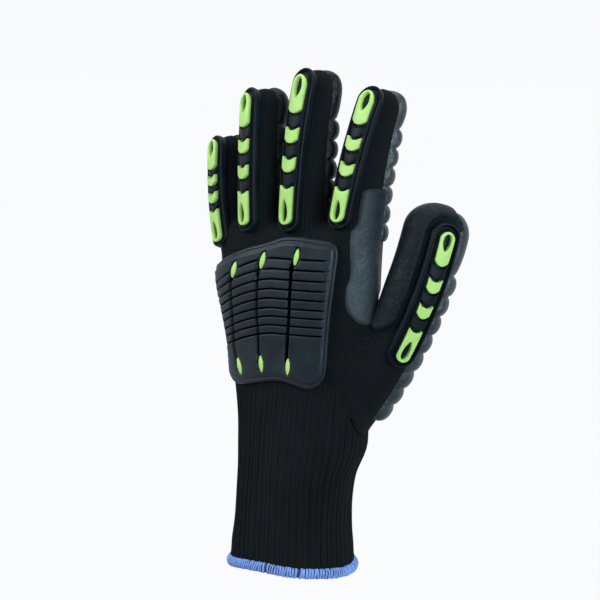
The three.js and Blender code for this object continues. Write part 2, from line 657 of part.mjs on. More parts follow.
// A mesh in a group, with its geometry measured from the anchor that it is placed at.
function addPiece(group, name, solid, material, anchor = [0, 0, 0]) {
  const mesh = solid.getMesh();
  const geometry = new THREE.BufferGeometry();
  const points = [];
  for (let i = 0; i < mesh.numVert; i++) {
    points.push(...mesh.vertProperties.subarray(i * mesh.numProp, i * mesh.numProp + 3));
  }
  geometry.setAttribute("position", new THREE.Float32BufferAttribute(points, 3));
  geometry.setIndex(new THREE.BufferAttribute(mesh.triVerts, 1));
  geometry.translate(...anchor.map((v) => -v));
  geometry.computeVertexNormals();
  const piece = new THREE.Mesh(geometry, material);
  piece.name = name;
  piece.position.set(...anchor);
  group.add(piece);
}

const liner = new THREE.Group();
glove.add(liner);
addPiece(liner, "cuff_knit", cuffSolid(), KNIT_BLACK);
addPiece(liner, "hem_binding", hemSolid(), THREAD_BLUE);
addPiece(liner, "hand_knit", handKnitSolid(), KNIT_BLACK);
FINGERS.forEach((finger, i) => {
  const sleeve = fingerSolid(finger, 0).subtract(bores[i]).subtract(bodyNear);
  addPiece(liner, `${finger.name}_knit`, sleeve, KNIT_BLACK, finger.base);
});

const guards = new THREE.Group();
glove.add(guards);
for (const finger of FINGERS) {
  const { body, inserts } = guardPieces(finger);
  addPiece(guards, `${finger.name}_guard`, body, RUBBER_BLACK, finger.tip);
  for (const insert of inserts) {
    addPiece(guards, `${finger.name}_${insert.name}_insert`, insert.solid, RUBBER_GREEN, finger.tip);
  }
}
const knuckle = knuckleGuardPieces();
addPiece(guards, "knuckle_guard", knuckle.plate, RUBBER_BLACK);
knuckle.lenses.forEach((lens) => addPiece(guards, lens.name, lens.solid, RUBBER_GREEN));

const coating = new THREE.Group();
glove.add(coating);
const thumbRoot = fingerSolid(FINGERS.at(-1), GAP + COAT);
addPiece(coating, "palm_coating", cutAll(palmCoatSolid(), [...handAndFingersNear, thumbRoot]), FOAM_GREY);
const palmSpace = palmCoatSolid(PILLOW_SPACE, GAP);
FINGERS.forEach((finger) => {
  const pad = cutAll(fingerPadSolid(finger), [bodyNear, palmSpace]);
  addPiece(coating, `${finger.name}_pad`, pad, FOAM_GREY, finger.tip);
});
const clear = FINGERS.slice(3).flatMap((finger) => [guardSpace(finger), padSpace(finger)]);
addPiece(coating, "web_patch", webPatchSolid([palmSpace, ...clear]), FOAM_GREY);

export default glove;
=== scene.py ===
# Looks of the anti-vibration work glove: a knitted liner, moulded guards, and a foam palm.
# Lengths are in millimetres up to the making of a mesh. The surfaces of the cuff, the hand and the
# fingers are laid out like those in the part's own source, with some sizes set closer to the
# photograph. Most pieces lie within 5 mm of their solids. The cuff goes on 32 mm inside the hand,
# the index pad reaches 11 mm lower, and the thumb pad, the lenses and the lower edge of the hand's
# knit differ by up to 7 mm.
import math

import bmesh
import bpy
import numpy as np
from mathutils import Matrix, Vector


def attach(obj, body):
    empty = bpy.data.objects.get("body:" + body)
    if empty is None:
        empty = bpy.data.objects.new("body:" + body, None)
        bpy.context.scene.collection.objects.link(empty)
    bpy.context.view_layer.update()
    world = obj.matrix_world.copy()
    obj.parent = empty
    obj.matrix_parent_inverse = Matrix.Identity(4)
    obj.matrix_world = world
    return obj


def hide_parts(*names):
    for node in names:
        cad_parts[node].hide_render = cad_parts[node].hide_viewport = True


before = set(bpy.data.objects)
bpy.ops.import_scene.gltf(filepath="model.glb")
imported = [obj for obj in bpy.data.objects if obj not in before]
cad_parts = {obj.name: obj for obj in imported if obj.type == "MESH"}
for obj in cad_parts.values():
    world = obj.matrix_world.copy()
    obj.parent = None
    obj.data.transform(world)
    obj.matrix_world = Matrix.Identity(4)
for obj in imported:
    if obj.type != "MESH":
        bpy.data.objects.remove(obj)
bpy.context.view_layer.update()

MM = 0.001

# Sizes of the glove
CUFF_LENGTH = 80
HAND_LENGTH = 92
BODY_LENGTH = CUFF_LENGTH + HAND_LENGTH
CROTCH_ROUNDING = 9
WRIST_HALF_WIDTH = 31.5
WRIST_HALF_DEPTH = 23.5
KNUCKLE_HALF_WIDTH = 45.5
KNUCKLE_HALF_DEPTH = 16.5
FULLNESS = 2.25
KNIT_WALL = 1.6

# Sections of the cuff and the hand: shares of the cuff's and the hand's length, shares of the
# wrist's and the knuckles' size, depth to the back and to the palm, shift to the thumb and palm
BODY_ROWS = [
    (0, 0, 1.12, 0, 1, 1, -0.02, 0),
    (0.3, 0, 1.03, 0, 1, 1, -0.01, 0),
    (0.6, 0, 1, 0.03, 0.97, 1, 0.042, 0),
    (0.8, 0, 0.8, 0.255, 0.94, 1, 0.1, 0.01),
    (1, 0, 0.55, 0.45, 0.96, 1.04, 0.095, 0.02),
    (1, 0.19, 0.3, 0.65, 1, 1.12, 0.075, 0.03),
    (1, 0.41, 0.13, 0.82, 1.02, 1.14, 0.07, 0.02),
    (1, 0.75, 0, 1, 1, 1, 0.055, 0),
    (1, 1, 0, 1, 0.86, 0.86, 0.05, 0),
]

# Fingers: the bent centreline, half widths and depths at root and tip, the way the back faces, the
# way the pad is turned, the guard's length, half width and distance from the tip, the lengths of
# the smooth tip pad and of the whole pad, and the inserts' share of the channel's width
FINGERS = {
    "little": dict(base=(-31, 2, 145), bend=(-42.8, 3, 185), tip=(-46.2, 10.5, 215.5), width=(11.4, 9.1),
                   depth=(9, 8), turn=-25, pad_turn=0, guard=60, half=6.7, start=6, tip_pad=22, pad=56),
    "ring": dict(base=(-15.4, -1, 145), bend=(-16.4, -6, 198), tip=(-20.6, 5, 239.8), width=(10.3, 9.5),
                 depth=(10, 9.2), turn=-24, pad_turn=0, guard=75.9, half=7.3, start=6.4, tip_pad=25, pad=72,
                 insert=0.92),
    "middle": dict(base=(8.2, 1.2, 145), bend=(7.8, -3.8, 204), tip=(11.3, 5, 249.5), width=(11.6, 9.6),
                   depth=(13, 9.5), turn=-16, pad_turn=0, guard=85, half=7.5, start=6.3, tip_pad=29.5,
                   pad=80),
    "index": dict(base=(32.2, 3.5, 145), bend=(38.4, -2, 197), tip=(46.6, 9, 239.8), width=(13.2, 10.1),
                  depth=(15, 9.8), turn=-12, pad_turn=0, guard=74.8, half=7.5, start=6.2, tip_pad=23,
                  pad=80.6),
    "thumb": dict(base=(18.5, 6, 68), bend=(64.7, 6, 121), tip=(73.7, 18, 178), width=(13.8, 14.2),
                  depth=(14.5, 11.5), turn=54, pad_turn=72, guard=78.2, half=7.4, start=12.4, tip_pad=36,
                  pad=112, insert=0.85),
}
# Angles from the palm's middle to a pad's edge, and from the back to the palm coating's edge
PAD_REACH = 72
PALM_EDGE = 98
PALM_START = 70

# Finger guards
GUARD_FLOOR = 1.5
GUARD_RIM = 2.8
INSERT_HEIGHT = 4.3
SADDLE_HEIGHT = 3.3
NOTCH = 2
INSERT_MARGIN = 1.2
GAP = 0.3
GUARD_ROWS = [
    ("toe", 0.056, 0.272),
    ("saddle", 0.272, 0.3565),
    ("upper", 0.3565, 0.4506),
    ("saddle", 0.4506, 0.532),
    ("lower", 0.532, 0.6235),
    ("saddle", 0.6235, 0.705),
    ("heel", 0.705, 0.945),
]
# The shortest guard has shorter saddles
LITTLE_ROWS = [
    ("toe", 0.053, 0.298),
    ("saddle", 0.298, 0.348),
    ("upper", 0.348, 0.44),
    ("saddle", 0.44, 0.497),
    ("lower", 0.497, 0.592),
    ("saddle", 0.592, 0.65),
    ("heel", 0.65, 0.943),
]


# Surfaces

def superellipse(v):
    return np.sign(v) * np.abs(v) ** (2 / FULLNESS)


def unbend(v):
    return np.sign(v) * np.abs(v) ** (FULLNESS / 2)


def body_table():
    rows = []
    for cuff, hand, wrist, knuckle, back, palm, aside, under in BODY_ROWS:
        depth = wrist * WRIST_HALF_DEPTH + knuckle * KNUCKLE_HALF_DEPTH
        width = wrist * WRIST_HALF_WIDTH + knuckle * KNUCKLE_HALF_WIDTH
        height = cuff * CUFF_LENGTH + hand * HAND_LENGTH
        rows.append((height, aside * KNUCKLE_HALF_WIDTH, under * KNUCKLE_HALF_WIDTH, width,
                     back * depth, palm * depth))
    return np.array(rows, dtype=float)


BODY = body_table()


def body_section(z):
    """Shift aside, shift under, half width, depth to the back and to the palm at each height."""
    z = np.clip(np.asarray(z, dtype=float), 0, BODY_LENGTH)
    last = len(BODY) - 1
    k = np.clip(np.searchsorted(BODY[:, 0], z, side="right") - 1, 0, last - 1)
    a, b, c, d = (BODY[np.clip(k + i, 0, last)] for i in (-1, 0, 1, 2))
    step = (c[..., 0] - b[..., 0])[..., None]
    t = (z[..., None] - b[..., :1]) / step
    slope_b = step * (c - a) / (c[..., :1] - a[..., :1])
    slope_c = step * (d - b) / (d[..., :1] - b[..., :1])
    smooth = (b * (1 + 2 * t) * (1 - t) ** 2 + c * t * t * (3 - 2 * t)
              + slope_b * t * (1 - t) ** 2 - slope_c * t * t * (1 - t))
    return [smooth[..., i] for i in range(1, 6)]


def body_point(z, angle, offset, shrink=1.0):
    """Angle 0 faces the back of the hand, 90 the thumb side and 180 the palm."""
    z, angle, offset = np.broadcast_arrays(*(np.asarray(v, dtype=float) for v in (z, angle, offset)))
    aside, under, half_width, back, palm = body_section(z)
    across = superellipse(np.sin(np.radians(angle)))
    deep = superellipse(np.cos(np.radians(angle)))
    width = half_width + offset - CROTCH_ROUNDING * (1 - shrink)
    depth = (np.where(deep > 0, back, palm) + offset) * shrink
    return np.stack([aside + width * across, under - depth * deep, z], axis=-1)


def unit(v):
    return v / np.linalg.norm(v, axis=-1, keepdims=True)


def smoothstep(v):
    v = np.clip(v, 0, 1)
    return v * v * (3 - 2 * v)


class Finger:
    """A finger's centreline with its directions and half sizes, in even steps from base to tip."""

    STEPS = 90

    def __init__(self, name):
        self.name = name
        self.size = FINGERS[name]
        base, bend, tip = (np.array(self.size[k], dtype=float) for k in ("base", "bend", "tip"))
        t = np.linspace(0, 1, self.STEPS + 1)[:, None]
        self.share = t[:, 0]
        self.centre = (1 - t) ** 2 * base + 2 * t * (1 - t) * bend + t * t * tip
        self.along = unit((1 - t) * (bend - base) + t * (tip - bend))
        turn = math.radians(self.size["turn"])
        facing = np.array([math.sin(turn), -math.cos(turn), 0.0])
        self.back = unit(facing - self.along * (self.along @ facing)[:, None])
        self.across = np.cross(self.along, self.back)
        self.width = np.interp(self.share, (0, 1), self.size["width"])
        self.depth = np.interp(self.share, (0, 1), self.size["depth"])

    def rings(self, points, offset=0.0):
        """Rings of points from the base over the rounded tip."""
        a = np.linspace(0, 2 * math.pi, points, endpoint=False)[:, None]
        rings = []
        for i in range(0, self.STEPS + 1, 3):
            rings.append(self.ring(i, a, offset, 1, 0))
        for lift in np.radians(np.arange(10, 90, 10)):
            rings.append(self.ring(self.STEPS, a, offset, math.cos(lift), math.sin(lift)))
        return np.array(rings)

    def ring(self, i, a, offset, level, lift):
        width, depth = self.width[i] + offset, self.depth[i] + offset
        return (self.centre[i] + self.along[i] * depth * lift
                + self.across[i] * width * level * np.sin(a) + self.back[i] * depth * level * np.cos(a))

    def locate(self, points):
        """For points near the finger: height above its skin, angle from its back, share of length,
        and lift over the rounded tip in degrees."""
        nearest = np.zeros(len(points), dtype=int)
        best = np.full(len(points), np.inf)
        for i in range(self.STEPS + 1):
            far = ((points - self.centre[i]) ** 2).sum(axis=1)
            closer = far < best
            best[closer] = far[closer]
            nearest[closer] = i
        v = points - self.centre[nearest]
        a = (v * self.across[nearest]).sum(axis=1) / self.width[nearest]
        b = (v * self.back[nearest]).sum(axis=1) / self.depth[nearest]
        ahead = (v * self.along[nearest]).sum(axis=1)
        past = np.where(nearest == self.STEPS, ahead / self.depth[nearest], 0)
        below = np.where(nearest == 0, ahead, 0)
        radial = np.hypot(a, b)
        size = np.minimum(self.width, self.depth)[nearest]
        height = (np.hypot(radial, np.maximum(past, 0)) - 1) * size + np.maximum(0, -below)
        lift = np.degrees(np.arctan2(np.maximum(past, 0), radial))
        length = np.linalg.norm(self.centre[-1] - self.centre[0])
        share = self.share[nearest] + np.where(nearest < self.STEPS, ahead / length, 0)
        return height, np.degrees(np.arctan2(a, b)), np.clip(share, 0, 1), lift


class Wrap:
    """Lays flat sizes on a finger's back (side 1) or palm (side -1): down from the tip's highest
    point, aside across the finger, up above the knit."""

    def __init__(self, finger, side=1):
        lifts = np.arange(90, 0, -5.0)
        last = finger.STEPS
        rows = [(last, lift) for lift in lifts] + [(i, 0.0) for i in range(last, -1, -1)]
        index = np.array([i for i, _ in rows])
        self.lift = np.array([lift for _, lift in rows])
        rise = np.radians(self.lift)[:, None]
        self.centre = finger.centre[index]
        self.across = finger.across[index]
        self.normal = finger.back[index] * side * np.cos(rise) + finger.along[index] * np.sin(rise)
        self.width = finger.width[index]
        self.depth = finger.depth[index]
        surface = self.centre + self.normal * self.depth[:, None]
        steps = np.linalg.norm(np.diff(surface, axis=0), axis=1)
        self.reach = np.concatenate([[0], np.cumsum(steps)])
        self.share = finger.share[index]

    def mix(self, rows, down):
        if rows.ndim == 1:
            return np.interp(down, self.reach, rows)
        return np.stack([np.interp(down, self.reach, rows[:, k]) for k in range(3)], axis=-1)

    def at(self, down, aside, up):
        down, aside, up = np.broadcast_arrays(*(np.asarray(v, dtype=float) for v in (down, aside, up)))
        width, depth = self.mix(self.width, down), self.mix(self.depth, down)
        turn = 2 * aside / (width + depth)
        return (self.mix(self.centre, down)
                + unit(self.mix(self.across, down)) * ((width + up) * np.sin(turn))[..., None]
                + unit(self.mix(self.normal, down)) * ((depth + up) * np.cos(turn))[..., None])

    def down(self, share, lift):
        """Distance down from the tip's highest point, for a share of length and a lift."""
        straight = self.lift == 0
        reach = np.interp(share, self.share[straight][::-1], self.reach[straight][::-1])
        return np.where(lift > 0, (90 - lift) / 90 * self.reach[straight][0], reach)


ALL_FINGERS = {name: Finger(name) for name in FINGERS}


# Meshes

def grid_faces(rows, columns, closed_rows=False, closed_columns=False):
    """Quads over a grid of points in row order."""
    i = np.arange(rows if closed_rows else rows - 1)
    j = np.arange(columns if closed_columns else columns - 1)
    i, j = np.meshgrid(i, j, indexing="ij")
    i2, j2 = (i + 1) % rows, (j + 1) % columns
    quads = np.stack([i * columns + j, i * columns + j2, i2 * columns + j2, i2 * columns + j], axis=-1)
    return quads.reshape(-1, 4)


def new_mesh(name, points, faces, uv=None):
    """A mesh from points in millimetres and quads, with a map value for each face corner."""
    mesh = bpy.data.meshes.new(name)
    points = np.asarray(points, dtype=float).reshape(-1, 3) * MM
    faces = np.asarray(faces, dtype=np.int32)
    mesh.vertices.add(len(points))
    mesh.vertices.foreach_set("co", points.ravel())
    mesh.loops.add(faces.size)
    mesh.loops.foreach_set("vertex_index", faces.ravel())
    mesh.polygons.add(len(faces))
    mesh.polygons.foreach_set("loop_start", np.arange(len(faces), dtype=np.int32) * faces.shape[1])
    if uv is not None:
        layer = mesh.uv_layers.new(name="weave")
        layer.uv.foreach_set("vector", np.asarray(uv, dtype=float).ravel())
    mesh.update(calc_edges=True)
    mesh.validate()
    return mesh


def finish_mesh(mesh, outward=True, weld=1e-6):
    """Merges doubled points, turns the faces outwards and smooths their shading."""
    work = bmesh.new()
    work.from_mesh(mesh)
    if weld:
        bmesh.ops.remove_doubles(work, verts=work.verts, dist=weld)
        bmesh.ops.dissolve_degenerate(work, edges=work.edges, dist=weld)
    if outward:
        bmesh.ops.recalc_face_normals(work, faces=work.faces)
    for face in work.faces:
        face.smooth = True
    work.to_mesh(mesh)
    work.free()


def add_object(name, mesh, material, replaced=()):
    """A finished piece that rides with the glove and stands for its solids."""
    piece = bpy.data.objects.new(name, mesh)
    bpy.context.scene.collection.objects.link(piece)
    mesh.materials.clear()
    mesh.materials.append(material)
    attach(piece, "root")
    if replaced:
        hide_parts(*replaced)
    return piece


def joined(meshes):
    """One array of points and one of quads from several."""
    points, faces, first = [], [], 0
    for p, f in meshes:
        points.append(np.asarray(p).reshape(-1, 3))
        faces.append(np.asarray(f) + first)
        first += len(points[-1])
    return np.concatenate(points), np.concatenate(faces)


def evaluated(piece):
    """The piece's mesh with its modifiers applied, and the piece removed."""
    view = bpy.context.evaluated_depsgraph_get()
    mesh = bpy.data.meshes.new_from_object(piece.evaluated_get(view), depsgraph=view)
    bpy.data.objects.remove(piece)
    return mesh


def mesh_points(mesh):
    points = np.empty(len(mesh.vertices) * 3)
    mesh.vertices.foreach_get("co", points)
    return points.reshape(-1, 3) / MM


def mesh_normals(mesh):
    normals = np.empty(len(mesh.vertices) * 3)
    mesh.vertex_normals.foreach_get("vector", normals)
    return normals.reshape(-1, 3)


def mesh_quads(mesh):
    quads = np.empty(len(mesh.loops), dtype=np.int32)
    mesh.loops.foreach_get("vertex_index", quads)
    return quads.reshape(-1, 4)


def smoothed(points, quads, weight, rounds):
    """Points drawn towards the mean of their neighbours, by a weight for each point."""
    edges = np.concatenate([quads[:, [0, 1]], quads[:, [1, 2]], quads[:, [2, 3]], quads[:, [3, 0]]])
    count = np.bincount(edges.ravel(), minlength=len(points))[:, None]
    for _ in range(rounds):
        total = np.zeros_like(points)
        for k in range(3):
            total[:, k] = (np.bincount(edges[:, 0], points[edges[:, 1], k], len(points))
                           + np.bincount(edges[:, 1], points[edges[:, 0], k], len(points)))
        mean = total / np.maximum(count, 1)
        points = points + (mean - points) * weight[:, None]
    return points


# Hand form

# The cuff passes under the hand's knit at this height, and lower round the thumb's root
TUCK_HEIGHT = 103
TUCK_DIP = 36
THUMB_ANGLE = 88
THUMB_SPREAD = 36
FORM_START = 40
UNDER_CUFF = 1.3
# Millimetres over which the whole form is smoothed, and its creases
FORM_SMOOTHING = 4.5
CREASE_SMOOTHING = 26
CREASE_WIDTH = 3.2
ROOT_CREASE = 5
WEB_CREASE = 6


def locate_body(points):
    """For points near the cuff or the hand: height above its skin and angle from its back."""
    aside, under, width, back, palm = body_section(points[:, 2])
    x, y = points[:, 0] - aside, points[:, 1] - under
    depth = np.where(y < 0, back, palm)
    over = np.maximum(points[:, 2] - BODY_LENGTH, 0)
    shrink = np.sqrt(np.maximum(1 - (over / CROTCH_ROUNDING) ** 2, 0.02))
    a = x / (width - CROTCH_ROUNDING * (1 - shrink))
    b = -y / (depth * shrink)
    radial = (np.abs(a) ** FULLNESS + np.abs(b) ** FULLNESS) ** (1 / FULLNESS)
    height = (1 - 1 / np.maximum(radial, 0.05)) * np.hypot(x, y)
    height = np.where(over > 0, np.maximum(height, over - CROTCH_ROUNDING), height)
    return height, np.degrees(np.arctan2(unbend(a), unbend(b)))


def tuck_height(angle):
    """Height where the cuff passes under the hand's knit: lower where the thumb leaves the hand."""
    thumb = np.exp(-((np.asarray(angle, dtype=float) - THUMB_ANGLE) / THUMB_SPREAD) ** 2)
    return TUCK_HEIGHT - TUCK_DIP * thumb


def hand_form(voxel):
    """The closed outer form of the hand with its fingers, melted together: points and quads."""
    levels = np.concatenate([np.arange(FORM_START, BODY_LENGTH, 3), [BODY_LENGTH]])
    angles = np.arange(0, 360, 3)
    rings = []
    for z in levels:
        sunk = -UNDER_CUFF * (1 - smoothstep((z - tuck_height(angles) + 5) / 14))
        rings.append(body_point(z, angles, sunk))
    for lift in np.radians([15, 30, 45, 60, 75]):
        ring = body_point(BODY_LENGTH, angles, 0.0, math.cos(lift))
        ring[:, 2] = BODY_LENGTH + CROTCH_ROUNDING * math.sin(lift)
        rings.append(ring)
    solids = [capped(np.array(rings))] + [capped(f.rings(72)) for f in ALL_FINGERS.values()]
    points, faces = joined(solids)
    form = bpy.data.objects.new("form", new_mesh("form", points, faces))
    finish_mesh(form.data)
    bpy.context.scene.collection.objects.link(form)
    remesh = form.modifiers.new("melt", "REMESH")
    remesh.mode = "VOXEL"
    remesh.voxel_size = voxel * MM
    mesh = evaluated(form)
    points, quads = mesh_points(mesh), mesh_quads(mesh)
    bpy.data.meshes.remove(mesh)
    everywhere = np.full(len(points), 0.5)
    points = smoothed(points, quads, everywhere, round(FORM_SMOOTHING / voxel))
    heights = np.stack([locate_body(points)[0]] + [f.locate(points)[0] for f in ALL_FINGERS.values()])
    second = np.sort(np.abs(heights), axis=0)[1]
    low = 1 - smoothstep((points[:, 2] - 105) / 20)
    web = np.exp(-((points[:, 0] - 52) / 15) ** 2 - ((points[:, 2] - 136) / 16) ** 2)
    width = CREASE_WIDTH + ROOT_CREASE * low + WEB_CREASE * web
    crease = np.exp(-(second / width) ** 2) * 0.6
    points = smoothed(points, quads, crease, round(CREASE_SMOOTHING / voxel))
    return points, quads


def form_normals(points, quads):
    """The direction out of the form at each of its points."""
    mesh = new_mesh("form", points, quads)
    normals = mesh_normals(mesh)
    bpy.data.meshes.remove(mesh)
    return normals


def capped(rings):
    """Points and quads of rings with both ends closed to their centres."""
    first, last = rings[0].mean(axis=0), rings[-1].mean(axis=0)
    stack = np.concatenate([np.broadcast_to(first, rings[:1].shape), rings,
                            np.broadcast_to(last, rings[:1].shape)])
    return stack.reshape(-1, 3), grid_faces(len(stack), rings.shape[1], closed_columns=True)


def parts_of(points):
    """For each point: its part (0 the hand, 1 to 5 the fingers), its angle, its share and lift."""
    heights, angles = locate_body(points)
    best = np.abs(heights)
    part = np.zeros(len(points), dtype=int)
    angle, share, lift = angles.copy(), np.zeros(len(points)), np.zeros(len(points))
    for k, finger in enumerate(ALL_FINGERS.values(), 1):
        h, a, s, l = finger.locate(points)
        closer = (np.abs(h) < best) | ((heights > 0.8) & (np.abs(h) < best + 0.5))
        best[closer] = np.abs(h)[closer]
        part[closer], angle[closer], share[closer], lift[closer] = k, a[closer], s[closer], l[closer]
    return part, angle, share, lift


# Pieces of the liner

# Sizes of one knitted loop, and the hand's length round
WALE = 1.35
COURSE = 1.15
HAND_AROUND = 230
LINER_OVERLAP = 2
BURIED = 0.7


def weave_map(points, quads):
    """Wale and course counts for each face corner, with each face wholly on one part."""
    part = parts_of(points)[0]
    owner = np.sort(part[quads], axis=1)[:, 1]
    uv = np.zeros((len(quads), 4, 2))
    body_angle = locate_body(points)[1]
    for k in range(6):
        mine = owner == k
        corner = quads[mine]
        if k == 0:
            a = body_angle[corner]
            along = points[corner, 2]
            around = HAND_AROUND
        else:
            finger = list(ALL_FINGERS.values())[k - 1]
            _, fa, fs, fl = finger.locate(points[corner].reshape(-1, 3))
            a = fa.reshape(corner.shape)
            length = np.linalg.norm(np.diff(finger.centre, axis=0), axis=1).sum()
            along = (fs * length + np.radians(fl) * finger.depth[-1]).reshape(corner.shape)
            around = 2 * math.pi * finger.width.mean()
        low = a.min(axis=1, keepdims=True)
        a = np.where(a - low > 180, a - 360, a)
        uv[mine, :, 0] = a / 360 * round(around / WALE)
        uv[mine, :, 1] = along / COURSE
    return uv


def rim_wall(faces, count):
    """Quads that join the open edges of faces to the same points numbered count higher."""
    ends = np.concatenate([faces[:, [k, (k + 1) % 4]] for k in range(4)]).astype(np.int64)
    rim = ends[~np.isin(ends[:, 0] * count + ends[:, 1], ends[:, 1] * count + ends[:, 0])]
    return np.stack([rim[:, 1], rim[:, 0], rim[:, 0] + count, rim[:, 1] + count], axis=-1)


def kept_part(keep, quads):
    """The quads to keep, numbered over the points they use, and those points."""
    faces = quads[keep]
    used = np.unique(faces)
    index = np.full(quads.max() + 1, -1)
    index[used] = np.arange(len(used))
    return index[faces], used


def make_liner(points, quads, material):
    """The hand and finger knit, a wall drawn inwards from the form and open at the cuff."""
    height = locate_body(points)[0]
    normals = form_normals(points, quads)
    inside = (points[:, 2] < CUFF_LENGTH + LINER_OVERLAP) & (height < -BURIED)
    faces, used = kept_part(~inside[quads].any(axis=1), quads)
    outer = points[used]
    inner = outer - normals[used] * KNIT_WALL
    wall = rim_wall(faces, len(used))
    weave = weave_map(outer, faces)
    mesh = new_mesh("liner", np.concatenate([outer, inner]),
                    np.concatenate([faces, faces[:, ::-1] + len(used), wall]),
                    np.concatenate([weave, weave[:, ::-1], np.zeros((len(wall), 4, 2))]))
    finish_mesh(mesh, outward=False, weld=0)
    names = ["hand_knit"] + [f"{name}_knit" for name in FINGERS]
    return add_object("knitted_hand", mesh, material, names)


CUFF_RIBS = 54
POINTS_PER_RIB = 8
RIB_DEPTH = 0.8
CUFF_TOP = 112
CUFF_EVEN = 24
CUFF_TUCK = 1.6
WALES_PER_RIB = 2.5


def fanned(angles, z):
    """Angles at a height of ribs that stand upright from the hem and fan out towards the thumb."""
    ribs = superellipse(np.sin(np.radians(angles)))
    aside, _, width = body_section(np.full(len(angles), CUFF_EVEN))[:3]
    aside_here, _, width_here = body_section(np.full(len(angles), z))[:3]
    x = aside + width * ribs
    x = x + (aside_here + width_here - aside - width) * ((1 + ribs) / 2) ** 5
    x = x + (aside_here - width_here - aside + width) * ((1 - ribs) / 2) ** 5
    share = np.clip((x - aside_here) / width_here, -1, 1)
    turned = np.degrees(np.arcsin(unbend(share)))
    return np.where(np.cos(np.radians(angles)) >= 0, turned, 180 - turned)


def make_cuff(material):
    """The ribbed cuff, whose ribs fade into the back of the hand."""
    count = CUFF_RIBS * POINTS_PER_RIB
    angles = np.arange(count) * 360 / count
    rib = 0.5 - 0.5 * np.cos(2 * math.pi * np.arange(count) / POINTS_PER_RIB)
    heights = np.concatenate([np.linspace(0.8, 20, 12), np.linspace(23, CUFF_TOP, 32)])
    rings = []
    for z in heights:
        lined = fanned(angles, z)
        fade = 1 - smoothstep((z - 86) / 22)
        tuck = -CUFF_TUCK * smoothstep((z - tuck_height(lined)) / 9)
        pull = 0.5 * (1 - smoothstep((z - 4) / 9))
        slack = 0.3 * np.sin(np.radians(angles * 3) + z / 9) * smoothstep((z - 8) / 20) * fade
        rib_depth = -RIB_DEPTH * (1 - rib ** 0.7) * fade
        rings.append(body_point(z, lined, rib_depth + tuck - pull + slack - 0.15))
    for z in heights[::-1]:
        lined = fanned(angles, z)
        tuck = -CUFF_TUCK * smoothstep((z - tuck_height(lined)) / 9)
        rings.append(body_point(z, lined, -KNIT_WALL - RIB_DEPTH + tuck))
    rings = np.array(rings)
    faces = grid_faces(len(rings), count, closed_rows=True, closed_columns=True)
    turns = np.arange(count + 1) / POINTS_PER_RIB * WALES_PER_RIB
    along = np.concatenate([heights, heights[::-1]]) / COURSE
    i, j = faces[:, 0] // count, faces[:, 0] % count
    rows = np.stack([i, i, (i + 1) % len(rings), (i + 1) % len(rings)], axis=-1)
    columns = np.stack([j, j + 1, j + 1, j], axis=-1)
    uv = np.stack([turns[columns], along[rows]], axis=-1)
    mesh = new_mesh("cuff", rings, faces, uv)
    finish_mesh(mesh, weld=0)
    return add_object("ribbed_cuff", mesh, material, ["cuff_knit"])


# Hem

HEM_STITCHES = 138
HEM_CENTRE = 1.8
HEM_ROLL = (1.75, 2.35)
THREAD = 0.66
STITCH_WIDTH = 1.5
STITCH_HEIGHT = 2.2
STITCHES_KEPT = 0.965


def hem_path(steps):
    """The hem's middle round the wrist, hanging lower at the two sides."""
    angles = np.arange(steps) * 360 / steps
    path = body_point(HEM_CENTRE, angles, -0.75)
    side = np.sin(np.radians(angles))
    droop = np.abs(side) ** 1.4 * (2.25 - 0.55 * side) + 0.25 * np.sin(np.radians(angles * 5))
    return path - droop[:, None] * [0, 0, 1]


def hem_roll(steps=240, around=20):
    """The rolled edge under the stitches."""
    path = hem_path(steps)
    out = unit(path * [1, 1, 0])
    a = np.linspace(0, 2 * math.pi, around, endpoint=False)
    swell = 1 + 0.05 * np.sin(np.arange(steps) * 0.19) + 0.03 * np.sin(np.arange(steps) * 0.53)
    radial = (HEM_ROLL[0] * np.cos(a))[None, :, None] * swell[:, None, None]
    up = (HEM_ROLL[1] * np.sin(a))[None, :, None] * swell[:, None, None]
    points = path[:, None, :] + out[:, None, :] * radial + np.array([0, 0, 1.0]) * up
    return points, grid_faces(steps, around, True, True)


def node(tree, kind, *inputs, **settings):
    """A node with its settings, its inputs linked from sockets or set to values."""
    made = tree.nodes.new(kind)
    for key, value in settings.items():
        setattr(made, key, value)
    for key, value in inputs:
        socket = made.inputs[key]
        if isinstance(value, bpy.types.NodeSocket):
            tree.links.new(value, socket)
        else:
            socket.default_value = value
    return made


